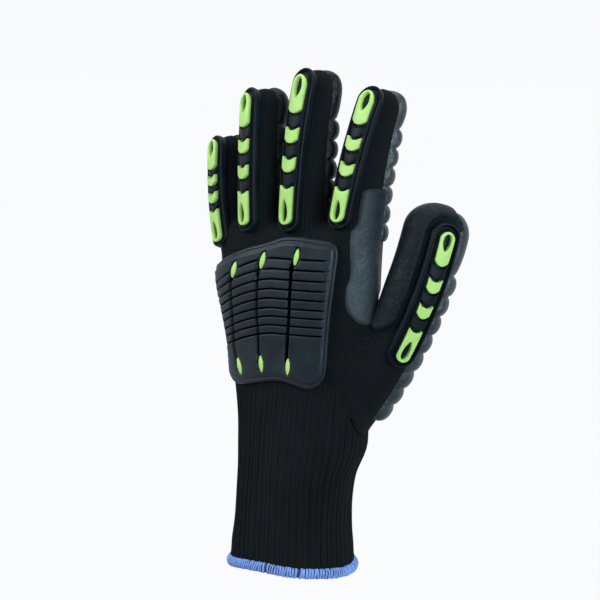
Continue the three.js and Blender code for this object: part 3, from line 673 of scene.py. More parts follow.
def stitch_tree(material):
    """Overlocked loops of thread standing round a closed path."""
    tree = bpy.data.node_groups.new("hem_stitches", "GeometryNodeTree")
    face = tree.interface
    face.new_socket("Geometry", in_out="INPUT", socket_type="NodeSocketGeometry")
    face.new_socket("Stitches", in_out="INPUT", socket_type="NodeSocketInt").default_value = 100
    face.new_socket("Thread", in_out="INPUT", socket_type="NodeSocketFloat").default_value = 0.0005
    face.new_socket("Width", in_out="INPUT", socket_type="NodeSocketFloat").default_value = 0.002
    face.new_socket("Height", in_out="INPUT", socket_type="NodeSocketFloat").default_value = 0.003
    face.new_socket("Geometry", in_out="OUTPUT", socket_type="NodeSocketGeometry")
    given = tree.nodes.new("NodeGroupInput").outputs
    loop = node(tree, "GeometryNodeCurvePrimitiveCircle", ("Resolution", 14), ("Radius", 1.0))
    upright = node(tree, "GeometryNodeTransform", ("Geometry", loop.outputs["Curve"]),
                   ("Rotation", (math.pi / 2, 0.0, math.pi / 2)))
    size = node(tree, "ShaderNodeCombineXYZ", ("X", 1.0), ("Y", given["Width"]),
                ("Z", given["Height"]))
    sized = node(tree, "GeometryNodeTransform", ("Geometry", upright.outputs["Geometry"]),
                 ("Scale", size.outputs["Vector"]))
    profile = node(tree, "GeometryNodeCurvePrimitiveCircle", ("Resolution", 6),
                   ("Radius", given["Thread"]))
    thread = node(tree, "GeometryNodeCurveToMesh", ("Curve", sized.outputs["Geometry"]),
                  ("Profile Curve", profile.outputs["Curve"]))
    even = node(tree, "GeometryNodeResampleCurve", ("Curve", given["Geometry"]),
                ("Count", given["Stitches"]))
    tangent = tree.nodes.new("GeometryNodeInputTangent").outputs["Tangent"]
    aligned = node(tree, "FunctionNodeAlignEulerToVector", ("Vector", tangent), axis="X", pivot_axis="Z")
    lean = node(tree, "FunctionNodeRandomValue", ("Min", (0.0, 0.05, 0.2)), ("Max", (0.0, 0.3, 0.42)),
                ("Seed", 4), data_type="FLOAT_VECTOR")
    turned = node(tree, "FunctionNodeRotateEuler", ("Rotation", aligned.outputs["Rotation"]),
                  ("Rotate By", lean.outputs["Value"]), space="LOCAL")
    swell = node(tree, "FunctionNodeRandomValue", ("Min", (0.9, 0.93, 0.93)), ("Max", (1.12, 1.06, 1.07)),
                 ("Seed", 9), data_type="FLOAT_VECTOR")
    kept = node(tree, "FunctionNodeRandomValue", ("Probability", STITCHES_KEPT), ("Seed", 3),
                data_type="BOOLEAN")
    standing = node(tree, "GeometryNodeInstanceOnPoints", ("Points", even.outputs["Curve"]),
                    ("Selection", kept.outputs[3]), ("Instance", thread.outputs["Mesh"]),
                    ("Rotation", turned.outputs["Rotation"]), ("Scale", swell.outputs["Value"]))
    real = node(tree, "GeometryNodeRealizeInstances", ("Geometry", standing.outputs["Instances"]))
    smooth = node(tree, "GeometryNodeSetShadeSmooth", ("Geometry", real.outputs["Geometry"]))
    painted = node(tree, "GeometryNodeSetMaterial", ("Geometry", smooth.outputs["Geometry"]))
    painted.inputs["Material"].default_value = material
    result = tree.nodes.new("NodeGroupOutput")
    tree.links.new(painted.outputs["Geometry"], result.inputs["Geometry"])
    return tree


def apply_tree(piece, tree, values):
    """Runs a tree on a piece with its named inputs and returns the plain mesh."""
    modifier = piece.modifiers.new("pattern", "NODES")
    modifier.node_group = tree
    for item in tree.interface.items_tree:
        if item.item_type == "SOCKET" and item.in_out == "INPUT" and item.name in values:
            modifier[item.identifier] = values[item.name]
    return evaluated(piece)


def path_object(name, points):
    curve = bpy.data.curves.new(name, "CURVE")
    curve.dimensions = "3D"
    spline = curve.splines.new("POLY")
    spline.points.add(len(points) - 1)
    spline.use_cyclic_u = True
    for point, place in zip(spline.points, points * MM):
        point.co = (*place, 1)
    piece = bpy.data.objects.new(name, curve)
    bpy.context.scene.collection.objects.link(piece)
    return piece


def make_hem(material, dark):
    points, faces = hem_roll()
    mesh = new_mesh("hem", points, faces)
    finish_mesh(mesh)
    add_object("hem_roll", mesh, dark, ["hem_binding"])
    path = path_object("hem_path", hem_path(400))
    values = {"Stitches": HEM_STITCHES, "Thread": THREAD * MM, "Width": STITCH_WIDTH * MM,
              "Height": STITCH_HEIGHT * MM}
    mesh = apply_tree(path, stitch_tree(material), values)
    return add_object("hem_stitches", mesh, material, ())


# Outlines, given as points down and aside

def round_corners(corners, radii, steps=6):
    """A closed outline with its corners rounded, starting at the first corner."""
    corners = np.asarray(corners, dtype=float)
    path = []
    for i, (here, r) in enumerate(zip(corners, radii)):
        before, after = corners[i - 1], corners[(i + 1) % len(corners)]
        into = min(r, 0.48 * np.linalg.norm(here - before))
        out = min(r, 0.48 * np.linalg.norm(after - here))
        start = here + (before - here) / np.linalg.norm(before - here) * into
        end = here + (after - here) / np.linalg.norm(after - here) * out
        for t in np.linspace(0, 1, steps):
            path.append((1 - t) ** 2 * start + 2 * t * (1 - t) * here + t * t * end)
    return np.array(path)


def resampled(path, count):
    """Even points along a closed outline, starting at its first point."""
    closed = np.concatenate([path, path[:1]])
    steps = np.linalg.norm(np.diff(closed, axis=0), axis=1)
    reach = np.concatenate([[0], np.cumsum(steps)])
    at = np.linspace(0, reach[-1], count, endpoint=False)
    return np.stack([np.interp(at, reach, closed[:, k]) for k in range(2)], axis=-1)


def inset(outline, amount):
    """An outline drawn inwards along its normals. A negative amount grows it."""
    ahead = unit(np.roll(outline, -1, axis=0) - outline)
    normal = np.stack([-ahead[:, 1], ahead[:, 0]], axis=-1)
    mean = normal + np.roll(normal, 1, axis=0)
    length = np.maximum((mean ** 2).sum(axis=1) / 2, 0.35)[:, None]
    after = np.roll(outline, -1, axis=0)
    area = (outline[:, 0] * after[:, 1] - outline[:, 1] * after[:, 0]).sum()
    return outline + mean / length * amount * (1 if area > 0 else -1)


def stadium(start, end, half, inward, arc=14, side=44):
    """A strip with round ends, drawn inwards, from the middle of one side round to it again."""
    reach = half - inward
    turn = np.linspace(0, math.pi, arc, endpoint=False)
    long = np.linspace(0, 1, side, endpoint=False)
    top, low = start + half, end - half
    right = np.stack([top + (low - top) * long, np.full(side, reach)], axis=-1)
    foot = np.stack([low + reach * np.sin(turn), reach * np.cos(turn)], axis=-1)
    left = np.stack([low + (top - low) * long, np.full(side, -reach)], axis=-1)
    head = np.stack([top - reach * np.sin(turn), -reach * np.cos(turn)], axis=-1)
    return np.concatenate([right, foot, left, head])


# Finger guards

INSERT_BEVEL = 0.45
CROWN = 0.45
INSERT_SINK = 0.1
LONG_RISE = 0.15
SHORT_RISE = 0.1
# A guard's section from its middle underneath, over the outer edge and the rim, down into the
# channel: distances in from the edge and heights above the knit. It ends at the spine.
GUARD_FOOT = -0.7
GUARD_SECTION = [
    (0, GUARD_FOOT), (0, 0.5), (0.2, 1.1), (0.75, 2.2), (1.3, 3.2), (1.45, 3.42), (1.62, 3.56),
    (1.8, 3.6), (1.95, 3.54), (2.08, 3.4), (2.16, 3.0), (2.24, 2.0), (2.36, 1.3), (2.6, 1.1),
    (3.2, 1.2), (3.8, 2.3),
]
GUARD_SPINE = 2.4
SADDLE_FOOT = 0.6
SADDLE_BEVEL = 0.6
SADDLE_CROWN = 0.9


def crowned(wrap, loops, half, low, crown):
    """Rings of points on a finger's back, each higher along the middle than at its sides."""
    rows = []
    for loop, up in loops:
        drop = crown * (loop[:, 1] / half) ** 2 if up > low else 0
        rows.append(wrap.at(loop[:, 0], loop[:, 1], up - drop))
    return np.array(rows)


def button(wrap, outline, half, low, high, bevel=INSERT_BEVEL, crown=CROWN):
    """A closed block of an outline with a soft upper edge and a crowned top."""
    centre = np.array([(outline[:, 0].min() + outline[:, 0].max()) / 2, 0])
    soft, edge = inset(outline, bevel * 0.3), inset(outline, bevel)
    loops = [(centre + (outline - centre) * 0.02, low), (outline, low), (outline, high - bevel),
             (inset(outline, bevel * 0.08), high - bevel * 0.55), (soft, high - bevel * 0.2), (edge, high)]
    loops += [(centre + (edge - centre) * k, high) for k in (0.85, 0.6, 0.35, 0.15, 0.0)]
    rows = crowned(wrap, loops, half, low, crown)
    return rows.reshape(-1, 3), grid_faces(len(rows), len(outline), closed_columns=True)


def pierced(wrap, outline, eye, half, low, high):
    """A block of an outline with a soft upper edge, a crowned top and an eye through it."""
    bevel = INSERT_BEVEL
    edge, lip = inset(outline, bevel), inset(eye, -bevel * 0.8)
    loops = [(outline, low), (outline, high - bevel), (inset(outline, bevel * 0.08), high - bevel * 0.55),
             (inset(outline, bevel * 0.3), high - bevel * 0.2), (edge, high)]
    loops += [(edge + (lip - edge) * t, high) for t in (0.3, 0.65)]
    loops += [(lip, high), (inset(eye, -bevel * 0.3), high - bevel * 0.25), (eye, high - bevel),
              (inset(eye, 0.15), low)]
    rows = crowned(wrap, loops, half, low, CROWN)
    faces = grid_faces(len(rows), len(outline), closed_rows=True, closed_columns=True)
    return rows.reshape(-1, 3), faces


def shield(start, end, half):
    """A short insert: two horns at its upper end and a blunt point at its lower end."""
    corners = [(start + NOTCH * 0.95, 0), (start + NOTCH * 0.75, half * 0.5), (start - 0.1, half),
               (end - 1.2, half * 0.93), (end + 0.6, half * 0.4), (end + 0.9, 0), (end + 0.6, -half * 0.4),
               (end - 1.2, -half * 0.93), (start - 0.1, -half), (start + NOTCH * 0.75, -half * 0.5)]
    return resampled(round_corners(corners, [0.3, 0.8, 0.25, 0.4, 0.5, 0.3, 0.5, 0.4, 0.25, 0.8]), 88)


def mirrored(right):
    """A closed outline from its right half, which starts and ends on the middle line."""
    right = np.asarray(right, dtype=float)
    return resampled(np.concatenate([right, right[1:-1][::-1] * [1, -1]]), 96)


def toe_outline(start, end, half):
    """A long insert, round at the fingertip end and bluntly pointed at the other."""
    turn = np.radians(np.linspace(0, 90, 12))
    dome = [(start + half * 1.25 * (1 - math.cos(a)), half * math.sin(a)) for a in turn]
    foot = round_corners([(end - 6, half), (end - 1.2, half * 0.93), (end + 0.6, half * 0.4),
                          (end + 0.9, 0)], [0.1, 0.7, 0.8, 0.1])
    return mirrored(dome + [tuple(p) for p in foot[6:18]] + [(end + 0.9, 0)])


def heel_outline(start, end, half):
    """A long insert with two horns at its upper end, round at the wrist end."""
    turn = np.radians(np.linspace(90, 0, 12))
    dome = [(end - half * 1.1 * (1 - math.cos(a)), half * math.sin(a)) for a in turn]
    top = round_corners([(start + NOTCH * 0.95, 0), (start + NOTCH * 0.75, half * 0.5),
                         (start - 0.1, half), (start + 5, half)], [0.1, 1.0, 0.3, 0.1])
    return mirrored([(start + NOTCH * 0.95, 0)] + [tuple(p) for p in top[6:18]] + dome)


def teardrop(start, end, half, pointed_end):
    """An eye that is round at one end and pointed at the other."""
    t = (1 - np.cos(np.linspace(0, math.pi, 40))) / 2
    s = t if pointed_end > 0 else 1 - t
    width = s ** 0.5 * (1 - s) ** 0.75 / 0.44
    return mirrored(np.stack([start + (end - start) * t, half * width], axis=-1))


# The long inserts: outline, where the eye starts and ends along it, the eye's share of the width
# and the way the eye points
LONG_INSERTS = {"toe": (toe_outline, 0.06, 0.6, 0.56, 1), "heel": (heel_outline, 0.36, 0.93, 0.52, -1)}


def make_guard(finger, black, green):
    wrap = Wrap(finger)
    size = finger.size
    start, end, half = size["start"], size["start"] + size["guard"], size["half"]
    channel = half - GUARD_RIM
    spine = half - 0.02
    rows = []
    for inward, up in [(spine, GUARD_FOOT), *GUARD_SECTION, (spine, GUARD_SPINE)]:
        loop = stadium(start, end, half, inward)
        rows.append(wrap.at(loop[:, 0], loop[:, 1], up))
    rows = np.array(rows)
    solids = [(rows, grid_faces(len(rows), rows.shape[1], closed_columns=True))]
    for piece, low, high in LITTLE_ROWS if finger.name == "little" else GUARD_ROWS:
        first = start + max(low * size["guard"], GUARD_RIM) + GAP
        last = start + min(high * size["guard"], size["guard"] - GUARD_RIM) - GAP
        if piece == "saddle":
            outline = shield(first - 0.2, last + 0.2, channel - INSERT_MARGIN + 0.3)
            solids.append(button(wrap, outline, half, SADDLE_FOOT, SADDLE_HEIGHT + 0.2,
                                 SADDLE_BEVEL, SADDLE_CROWN))
            continue
        width = (channel - INSERT_MARGIN) * size.get("insert", 1)
        foot = GUARD_FLOOR - INSERT_SINK
        if piece in LONG_INSERTS:
            shape, opens, closes, share, pointed_end = LONG_INSERTS[piece]
            long = last - first
            eye = teardrop(first + opens * long, first + closes * long, width * share, pointed_end)
            mesh = pierced(wrap, shape(first, last, width), eye, half, foot,
                           INSERT_HEIGHT + LONG_RISE)
        else:
            mesh = button(wrap, shield(first, last, width), half, foot, INSERT_HEIGHT + SHORT_RISE)
        made = new_mesh(piece, *mesh)
        finish_mesh(made)
        add_object(f"{finger.name}_{piece}_green", made, green,
                   [f"{finger.name}_{piece}_insert"])
    base = new_mesh("guard", *joined(solids))
    finish_mesh(base)
    return add_object(f"{finger.name}_guard_strip", base, black, [f"{finger.name}_guard"])


# Knuckle guard. Its outline is given as distances to the thumb side and heights above the cuff.

KNUCKLE_OUTLINE = [
    (-44.6, 70), (-43.5, 75.5), (-37.5, 79.8), (-28.3, 84.4), (-19.2, 87.9), (-11.9, 90.0), (-5.7, 91.9),
    (-1, 93.6), (4, 94.8), (11.6, 94.8), (19.4, 93.9), (26.5, 93.2), (30.4, 91.2), (31.3, 86), (30.6, 78),
    (29.4, 64), (28.6, 52), (28.2, 40), (28.1, 30), (27.2, 23.4), (24, 19.2), (19.5, 17), (14.5, 17),
    (8.6, 18.4), (0.7, 19.7), (-6.4, 19.3), (-20, 17), (-32, 15), (-38.2, 16.6), (-40.6, 21), (-40.4, 34),
    (-41.5, 49), (-43.6, 62),
]
KNUCKLE_HEIGHT = 3.6
CROSS_WIDTH = 0.9
SEAT_MARGIN = 0.6
LONG_WIDTH = 2.4
BAND = 2.8
BAND_HEIGHT = 3.1
LONG_LINES = [
    [(-25.6, 76), (-27.9, 70.3), (-29.1, 50.1), (-30.2, 36), (-28.4, 26)],
    [(-8.3, 82), (-10.8, 77.2), (-12.4, 55.1), (-13.1, 32.9), (-11.5, 27)],
    [(10.2, 85), (7.8, 79.8), (6.6, 56.5), (4.8, 32.7), (5.5, 28.3)],
]
CROSS_LINES = [83.6, 78.2, 73, 68, 63.1, 58.2, 53.8, 49.3, 44.9]
CROSS_DROP = [12.6, 11.6, 11, 10.4, 9.9, 9.2, 9, 8.6, 8.3]
LENSES = [
    (-25.6, 75.8, 14), (-8.3, 82, 12), (10.2, 84.8, 10), (-26.8, 25.3, -13), (-11, 28.2, -3), (5.9, 28.2, 2),
]
LENS_LENGTH = 9
LENS_WIDTH = 2.5
LENS_POINTS = 80
# Rings of a lens: share of its outline and height
LENS_SECTION = [
    (0.01, 0.6), (1, 0.6), (1, 3.8), (0.97, 4.2), (0.88, 4.5), (0.7, 4.75), (0.45, 4.93), (0.2, 5.0),
    (0.0, 5.02),
]
# Depths of the grooves, and the lowest heights in them and in the seats of the lenses
CROSS_DEPTH = 1.9
LONG_DEPTH = 3.2
GROOVE_FLOOR = 0.5
SEAT_FLOOR = 0.7
SEAT_WALL = 0.22
# Where the columns of the grid cross the long grooves
GRID_HEIGHT = 55


def curve_through(corners, steps=8):
    """A smooth closed outline through its corners."""
    c = np.asarray(corners, dtype=float)
    a, d, e = np.roll(c, 1, axis=0), np.roll(c, -1, axis=0), np.roll(c, -2, axis=0)
    path = []
    for t in np.linspace(0, 1, steps, endpoint=False):
        path.append(0.5 * (2 * c + (d - a) * t + (2 * a - 5 * c + 4 * d - e) * t * t
                           + (3 * c - a - 3 * d + e) * t ** 3))
    return np.stack(path, axis=1).reshape(-1, 2)


def from_outline(points, outline):
    """Signed distance to a closed outline (negative inside) and the nearest point on it."""
    starts, ends = outline, np.roll(outline, -1, axis=0)
    best = np.full(len(points), np.inf)
    nearest = np.zeros_like(points)
    inside = np.zeros(len(points), dtype=bool)
    for a, b in zip(starts, ends):
        edge = b - a
        t = np.clip(((points - a) @ edge) / (edge @ edge), 0, 1)
        foot = a + t[:, None] * edge
        far = np.linalg.norm(points - foot, axis=1)
        closer = far < best
        best[closer], nearest[closer] = far[closer], foot[closer]
        if a[1] != b[1]:
            crosses = (a[1] > points[:, 1]) != (b[1] > points[:, 1])
            at = a[0] + (points[:, 1] - a[1]) * edge[0] / edge[1]
            inside ^= crosses & (points[:, 0] < at)
    return np.where(inside, -best, best), nearest


def from_line(points, line):
    """Distance to an open line of points."""
    line = np.asarray(line, dtype=float)
    best = np.full(len(points), np.inf)
    for a, b in zip(line[:-1], line[1:]):
        edge = b - a
        t = np.clip(((points - a) @ edge) / (edge @ edge), 0, 1)
        best = np.minimum(best, np.linalg.norm(points - a - t[:, None] * edge, axis=1))
    return best


def back_point(side, height, up):
    """A point over the back of the hand from a side, a height above the cuff and a rise."""
    share = np.clip(side / KNUCKLE_HALF_WIDTH, -0.985, 0.985)
    angle = np.degrees(np.arcsin(np.abs(share) ** (FULLNESS / 2))) * np.sign(share)
    return body_point(CUFF_LENGTH + height, angle, up)


def cross_line(k, side):
    """Height of a cross groove's middle at a side."""
    return CROSS_LINES[k] - CROSS_DROP[k] * (np.maximum(-side - 2, 0) / 33) ** 1.6 * 1.05


def long_line(k, height):
    """Side of a long groove's middle at a height."""
    line = np.array(LONG_LINES[k][::-1], dtype=float)
    return np.interp(height, line[:, 1], line[:, 0])


def stops(middles, low, high, coarse, near):
    """Even stops between two ends, with closer ones beside each middle."""
    middles = np.sort(np.asarray(middles, dtype=float))
    found = [low, high]
    for middle in middles:
        found += [middle + d for d in near]
    ends = np.concatenate([[low], middles, [high]])
    for start, end in zip(ends[:-1], ends[1:]):
        first = start + (near[-1] if start != low else 0)
        last = end + (near[0] if end != high else 0)
        count = max(2, int(round((last - first) / coarse)))
        found += list(np.linspace(first, last, count + 1))
    return np.unique(np.round(found, 3))


# Distances from a groove's middle to the lines of points beside it
CROSS_NEAR = (-0.85, -0.53, -0.37, -0.15, 0.15, 0.37, 0.53, 0.85)
LONG_NEAR = (-1.65, -1.3, -1.1, -0.55, 0.55, 1.1, 1.3, 1.65)


def knuckle_grid(outline, coarse):
    """Points in rows that run along the cross grooves and in columns along the long ones."""
    low, high = outline.min(axis=0) - 0.3, outline.max(axis=0) + 0.3
    known_rows = np.sort(CROSS_LINES)
    order = np.argsort(CROSS_LINES)
    known_columns = np.array([long_line(k, GRID_HEIGHT) for k in range(3)])
    rows = stops(CROSS_LINES, low[1], high[1], coarse, CROSS_NEAR)
    columns = stops(known_columns, low[0], high[0], coarse, LONG_NEAR)
    side = np.repeat(columns[:, None], len(rows), axis=1)
    across, along = np.arange(len(columns))[:, None], np.arange(len(rows))[None, :]
    for _ in range(3):
        shifts = np.stack([cross_line(k, side) - CROSS_LINES[k] for k in order])
        place = np.interp(rows, known_rows, np.arange(len(known_rows)))
        k = np.clip(place.astype(int), 0, len(known_rows) - 2)
        t = place - k
        shift = shifts[k, across, along] * (1 - t) + shifts[k + 1, across, along] * t
        fade = np.clip((rows - low[1]) / (known_rows[0] - low[1]), 0, 1)
        fade = fade * np.clip((high[1] + 12 - rows) / (high[1] + 12 - known_rows[-1]), 0, 1)
        height = rows[None, :] + shift * fade
        bends = np.stack([long_line(k, height) - known_columns[k] for k in range(3)])
        place = np.interp(columns, known_columns, np.arange(3))
        k = np.clip(place.astype(int), 0, 1)[:, None]
        t = place[:, None] - k
        side = columns[:, None] + bends[k, across, along] * (1 - t) + bends[k + 1, across, along] * t
    return np.stack([side, height], axis=-1)


def knuckle_relief(points, outline):
    """Height of the knuckle guard above the knit: outer band, raised field, grooves and the seats
    of the lenses."""
    edge = -from_outline(points, outline)[0]
    side, height = points[:, 0], points[:, 1]
    up = BAND_HEIGHT * (0.5 + 0.5 * np.sin(np.clip(edge / 1.1, 0, 1) * math.pi / 2))
    up -= 0.4 * np.exp(-((edge - BAND + 0.15) / 0.4) ** 2)
    up += (KNUCKLE_HEIGHT + 0.7 - BAND_HEIGHT) * smoothstep((edge - BAND) / 0.8)
    seats = np.minimum.reduce([lens_distance(points, lens, SEAT_MARGIN) for lens in LENSES])
    around = smoothstep((seats - 0.25) / 0.5)
    for k in range(len(CROSS_LINES)):
        away = np.abs(height - cross_line(k, side))
        end = smoothstep((edge - BAND - 0.5) / 1.2) * smoothstep((28 - side) / 6) * around
        up -= CROSS_DEPTH * (1 - smoothstep((away - CROSS_WIDTH / 2 + 0.08) / 0.16)) * end
        up -= 0.12 * (1 - smoothstep((away - CROSS_WIDTH / 2) / 0.5)) * end
    for line in LONG_LINES:
        up -= LONG_DEPTH * (1 - smoothstep((from_line(points, line) - LONG_WIDTH / 2 + 0.1) / 0.2))
    return np.where(seats < 0.06, SEAT_FLOOR, np.maximum(up, GROOVE_FLOOR))


def lens_outline(lens, grow=0.0):
    """A lens seen from above: pointed oval, leaning by an angle."""
    side, height, lean = lens
    t = np.linspace(0, 2 * math.pi, LENS_POINTS, endpoint=False)
    along = np.cos(t) * (LENS_LENGTH / 2 + grow)
    wide = np.sign(np.sin(t)) * np.abs(np.sin(t)) ** 1.5 * (LENS_WIDTH / 2 + grow)
    c, s = math.cos(math.radians(lean)), math.sin(math.radians(lean))
    return np.stack([side + wide * c + along * s, height + along * c - wide * s], axis=-1)


def lens_distance(points, lens, grow):
    """Signed distance to a grown lens, and a large one for points far from it."""
    near = np.hypot(points[:, 0] - lens[0], points[:, 1] - lens[1]) < LENS_LENGTH
    distance = np.full(len(points), 9.0)
    distance[near] = from_outline(points[near], lens_outline(lens, grow))[0]
    return distance


def make_knuckle_guard(black, green):
    outline = curve_through(KNUCKLE_OUTLINE)
    grid = knuckle_grid(outline, 0.7)
    columns, rows = grid.shape[:2]
    grid = grid.reshape(-1, 2)
    for lens in LENSES:
        distance, nearest = from_outline(grid, lens_outline(lens, SEAT_MARGIN))
        inner = np.abs(distance + 0.15) < 0.3
        outer = (distance >= 0.15) & (distance < 0.95)
        grid[outer] = nearest[outer] + unit(grid[outer] - nearest[outer]) * SEAT_WALL
        grid[inner] = nearest[inner]
    distance, nearest = from_outline(grid, outline)
    grid[distance > 0] = nearest[distance > 0]
    faces = grid_faces(columns, rows)
    faces, used = kept_part((distance[faces] <= 0).any(axis=1), faces)
    grid = grid[used]
    up = knuckle_relief(grid, outline)
    # How far each point lies below the raised field. The material paints shade by it, near black in the
    # grooves and the lenses' seats; the map's first value carries it.
    sunk = smoothstep((KNUCKLE_HEIGHT - 0.1 - up) / 0.8) * (distance[used] < -BAND - 0.4)
    top = back_point(grid[:, 0], grid[:, 1], up)
    under = back_point(grid[:, 0], grid[:, 1], -0.6)
    wall = rim_wall(faces, len(grid))
    quads = np.concatenate([faces, faces[:, ::-1] + len(grid), wall])
    depth = np.stack([np.concatenate([sunk, sunk]), np.zeros(2 * len(grid))], axis=-1)
    mesh = new_mesh("knuckle", np.concatenate([top, under]), quads, depth[quads])
    finish_mesh(mesh, weld=2e-6)
    add_object("knuckle_shell", mesh, black, ["knuckle_guard"])
    names = [f"upper_lens_{i}" for i in (1, 2, 3)] + [f"lower_lens_{i}" for i in (1, 2, 3)]
    for lens, name in zip(LENSES, names):
        outline = lens_outline(lens)
        centre = np.array(lens[:2])
        rows = np.array([back_point(*(centre + (outline - centre) * share).T, up)
                         for share, up in LENS_SECTION])
        made = new_mesh(name, rows, grid_faces(len(rows), rows.shape[1], closed_columns=True))
        finish_mesh(made)
        add_object(f"{name}_green", made, green, [name])


# Foam

COAT = 1.3
BUMP_HEIGHT = 3.0
BUMP_PITCH = 9.4
PALM_COLUMNS = 5
PALM_ROWS = 9
SUNK = -0.45
UNDERSIDE = -0.35
VALLEY = 0.15


def pillow(along, across):
    """Height of a pillowed pad at a place counted in bumps."""
    rise = np.abs(np.sin(np.pi * along)) ** 0.36 * np.abs(np.sin(np.pi * across)) ** 0.5
    return VALLEY + (BUMP_HEIGHT + COAT - VALLEY) * rise ** 0.8


def coat_piece(name, points, quads, normals, up, material, replaced):
    """A closed coat over the part of the form where it stands above the knit."""
    faces, used = kept_part((up > SUNK + 0.02)[quads].any(axis=1), quads)
    outer = points[used] + normals[used] * up[used][:, None]
    inner = points[used] + normals[used] * (SUNK + UNDERSIDE)
    quads = np.concatenate([faces, faces[:, ::-1] + len(used), rim_wall(faces, len(used))])
    mesh = new_mesh(name, np.concatenate([outer, inner]), quads)
    finish_mesh(mesh, outward=False, weld=0)
    return add_object(name, mesh, material, replaced)


def edge_rise(distance, soft):
    """From sunk under the knit outside an edge to a full coat inside it."""
    return smoothstep(distance / soft + 0.2)


def root_gap(points):
    """Distance from the line where the palm meets the thumb's root, for points near the cuff."""
    body, thumb = locate_body(points)[0], ALL_FINGERS["thumb"].locate(points)[0]
    return np.abs(np.abs(body) - np.abs(thumb)) - 0.8 + np.maximum(points[:, 2] - 84, 0)


def palm_height(points, angle):
    """The palm coating's height over the hand, falling below the knit past its edges."""
    z = points[:, 2]
    side = (np.where(angle < 0, angle + 360, angle) - 180) / (180 - PALM_EDGE)
    along = (z - PALM_START) / (BODY_LENGTH - PALM_START)
    up = pillow(along * PALM_ROWS, (side + 1) / 2 * PALM_COLUMNS)
    under_patch = smoothstep((z - 128) / 12) * (1 - smoothstep((np.abs(angle - 95) - 14) / 16))
    up = up + (VALLEY - up) * under_patch
    edge = np.minimum.reduce([(1 - np.abs(side)) * 62, z - PALM_START, BODY_LENGTH + 1 - z,
                             root_gap(points)])
    return SUNK + (up - SUNK) * edge_rise(edge, 1.6)


def pad_height(finger, points, angle, share, lift):
    """A finger pad's height: smooth over the fingertip, then rows of pillows."""
    size = finger.size
    down = Wrap(finger, -1).down(share, lift)
    turned = (angle + size["pad_turn"]) % 360 - 180
    bumps = round((size["pad"] - size["tip_pad"]) / BUMP_PITCH)
    pitch = (size["pad"] - size["tip_pad"]) / bumps
    across = turned / PAD_REACH
    spread = np.cos(np.radians(np.minimum(lift, 88)))
    crown = np.sin(np.pi * np.clip(down / size["tip_pad"], 0, 1) ** 1.25) ** 0.3
    crown = crown * smoothstep((down + 1) / 10.5) * (1 - np.clip(across * spread, -1, 1) ** 4)
    smooth = VALLEY + (BUMP_HEIGHT * 0.85 + COAT - VALLEY) * crown
    rows = pillow((down - size["tip_pad"]) / pitch, across)
    up = np.where(down < size["tip_pad"], smooth, rows)
    radius = finger.width.mean()
    aside = (PAD_REACH + 4 - np.abs(turned)) * math.pi / 180 * radius * np.cos(np.radians(lift))
    edge = np.minimum.reduce([aside, size["pad"] - down, (down - 1) * 0.8])
    if finger.name == "thumb":
        edge = np.minimum(edge, root_gap(points))
    return SUNK + (up - SUNK) * edge_rise(edge, 1.3)


def make_foam(points, quads, pad_material):
    """The palm's coat and the five pads. Gives the form's normals and the foam's height."""
    normals = form_normals(points, quads)
    part, angle, share, lift = parts_of(points)
    up = np.where(part == 0, palm_height(points, angle), SUNK)
    coat_piece("palm_foam", points, quads, normals, up, pad_material, ["palm_coating"])
    for k, (name, finger) in enumerate(ALL_FINGERS.items(), 1):
        mine = part == k
        pad = np.full(len(points), SUNK)
        pad[mine] = pad_height(finger, points[mine], angle[mine], share[mine], lift[mine])
        coat_piece(f"{name}_foam_pad", points, quads, normals, pad, pad_material, [f"{name}_pad"])
        up = np.maximum(up, pad)
    return normals, up


# Web patch. Its outline is seen from the back of the hand: distances to the thumb side and heights
# above the cuff.
PATCH_OUTLINE = [
    (46, 119), (41, 101), (40, 88), (40, 76), (38, 69), (38, 60), (42, 53), (48, 49), (55, 48), (62, 52),
    (68, 62), (74, 82), (79, 97), (98, 99), (98, 125), (58, 125), (58, 119),
]
PATCH = 1.8
PATCH_SWELL = 1.3
GUARD_MARGIN = 1.6


def make_patch(points, quads, normals, foam_up, material):
    outline = np.array(PATCH_OUTLINE, dtype=float) + [0, CUFF_LENGTH]
    outline = curve_through(outline, 5)
    edge = -from_outline(points[:, [0, 2]], outline)[0]
    for name in ("index", "thumb"):
        finger = ALL_FINGERS[name]
        height, angle, share, lift = finger.locate(points)
        down = Wrap(finger).down(share, lift)
        aside = np.radians(angle) * finger.width.mean() * np.cos(np.radians(lift))
        strip = stadium(finger.size["start"], finger.size["start"] + finger.size["guard"],
                        finger.size["half"], 0)
        near = (height < 4) & (np.abs(angle) < 100)
        clear = np.full(len(points), 50.0)
        clear[near] = from_outline(np.stack([down, aside], axis=-1)[near], strip)[0]
        edge = np.minimum(edge, clear - GUARD_MARGIN)
    edge = np.minimum(edge, (2.2 - foam_up) * 2.0)
    thick = PATCH + PATCH_SWELL * smoothstep((points[:, 0] - 46) / 10)
    up = SUNK + (thick - SUNK) * edge_rise(edge, 2.2)
    return coat_piece("web_foam", points, quads, normals, up, material, ["web_patch"])


# Materials

def shader_group(name, inputs, outputs):
    """An empty shader group with number inputs and the outputs named."""
    tree = bpy.data.node_groups.new(name, "ShaderNodeTree")
    for label, kind, value in inputs:
        socket = tree.interface.new_socket(label, in_out="INPUT", socket_type=kind)
        if value is not None:
            socket.default_value = value
    for label, kind in outputs:
        tree.interface.new_socket(label, in_out="OUTPUT", socket_type=kind)
    return tree, tree.nodes.new("NodeGroupInput").outputs, tree.nodes.new("NodeGroupOutput").inputs


FLOAT, COLOUR, VECTOR = "NodeSocketFloat", "NodeSocketColor", "NodeSocketVector"


def maths(tree, operation, a, b=0.0, c=0.0):
    return node(tree, "ShaderNodeMath", (0, a), (1, b), (2, c), operation=operation).outputs[0]


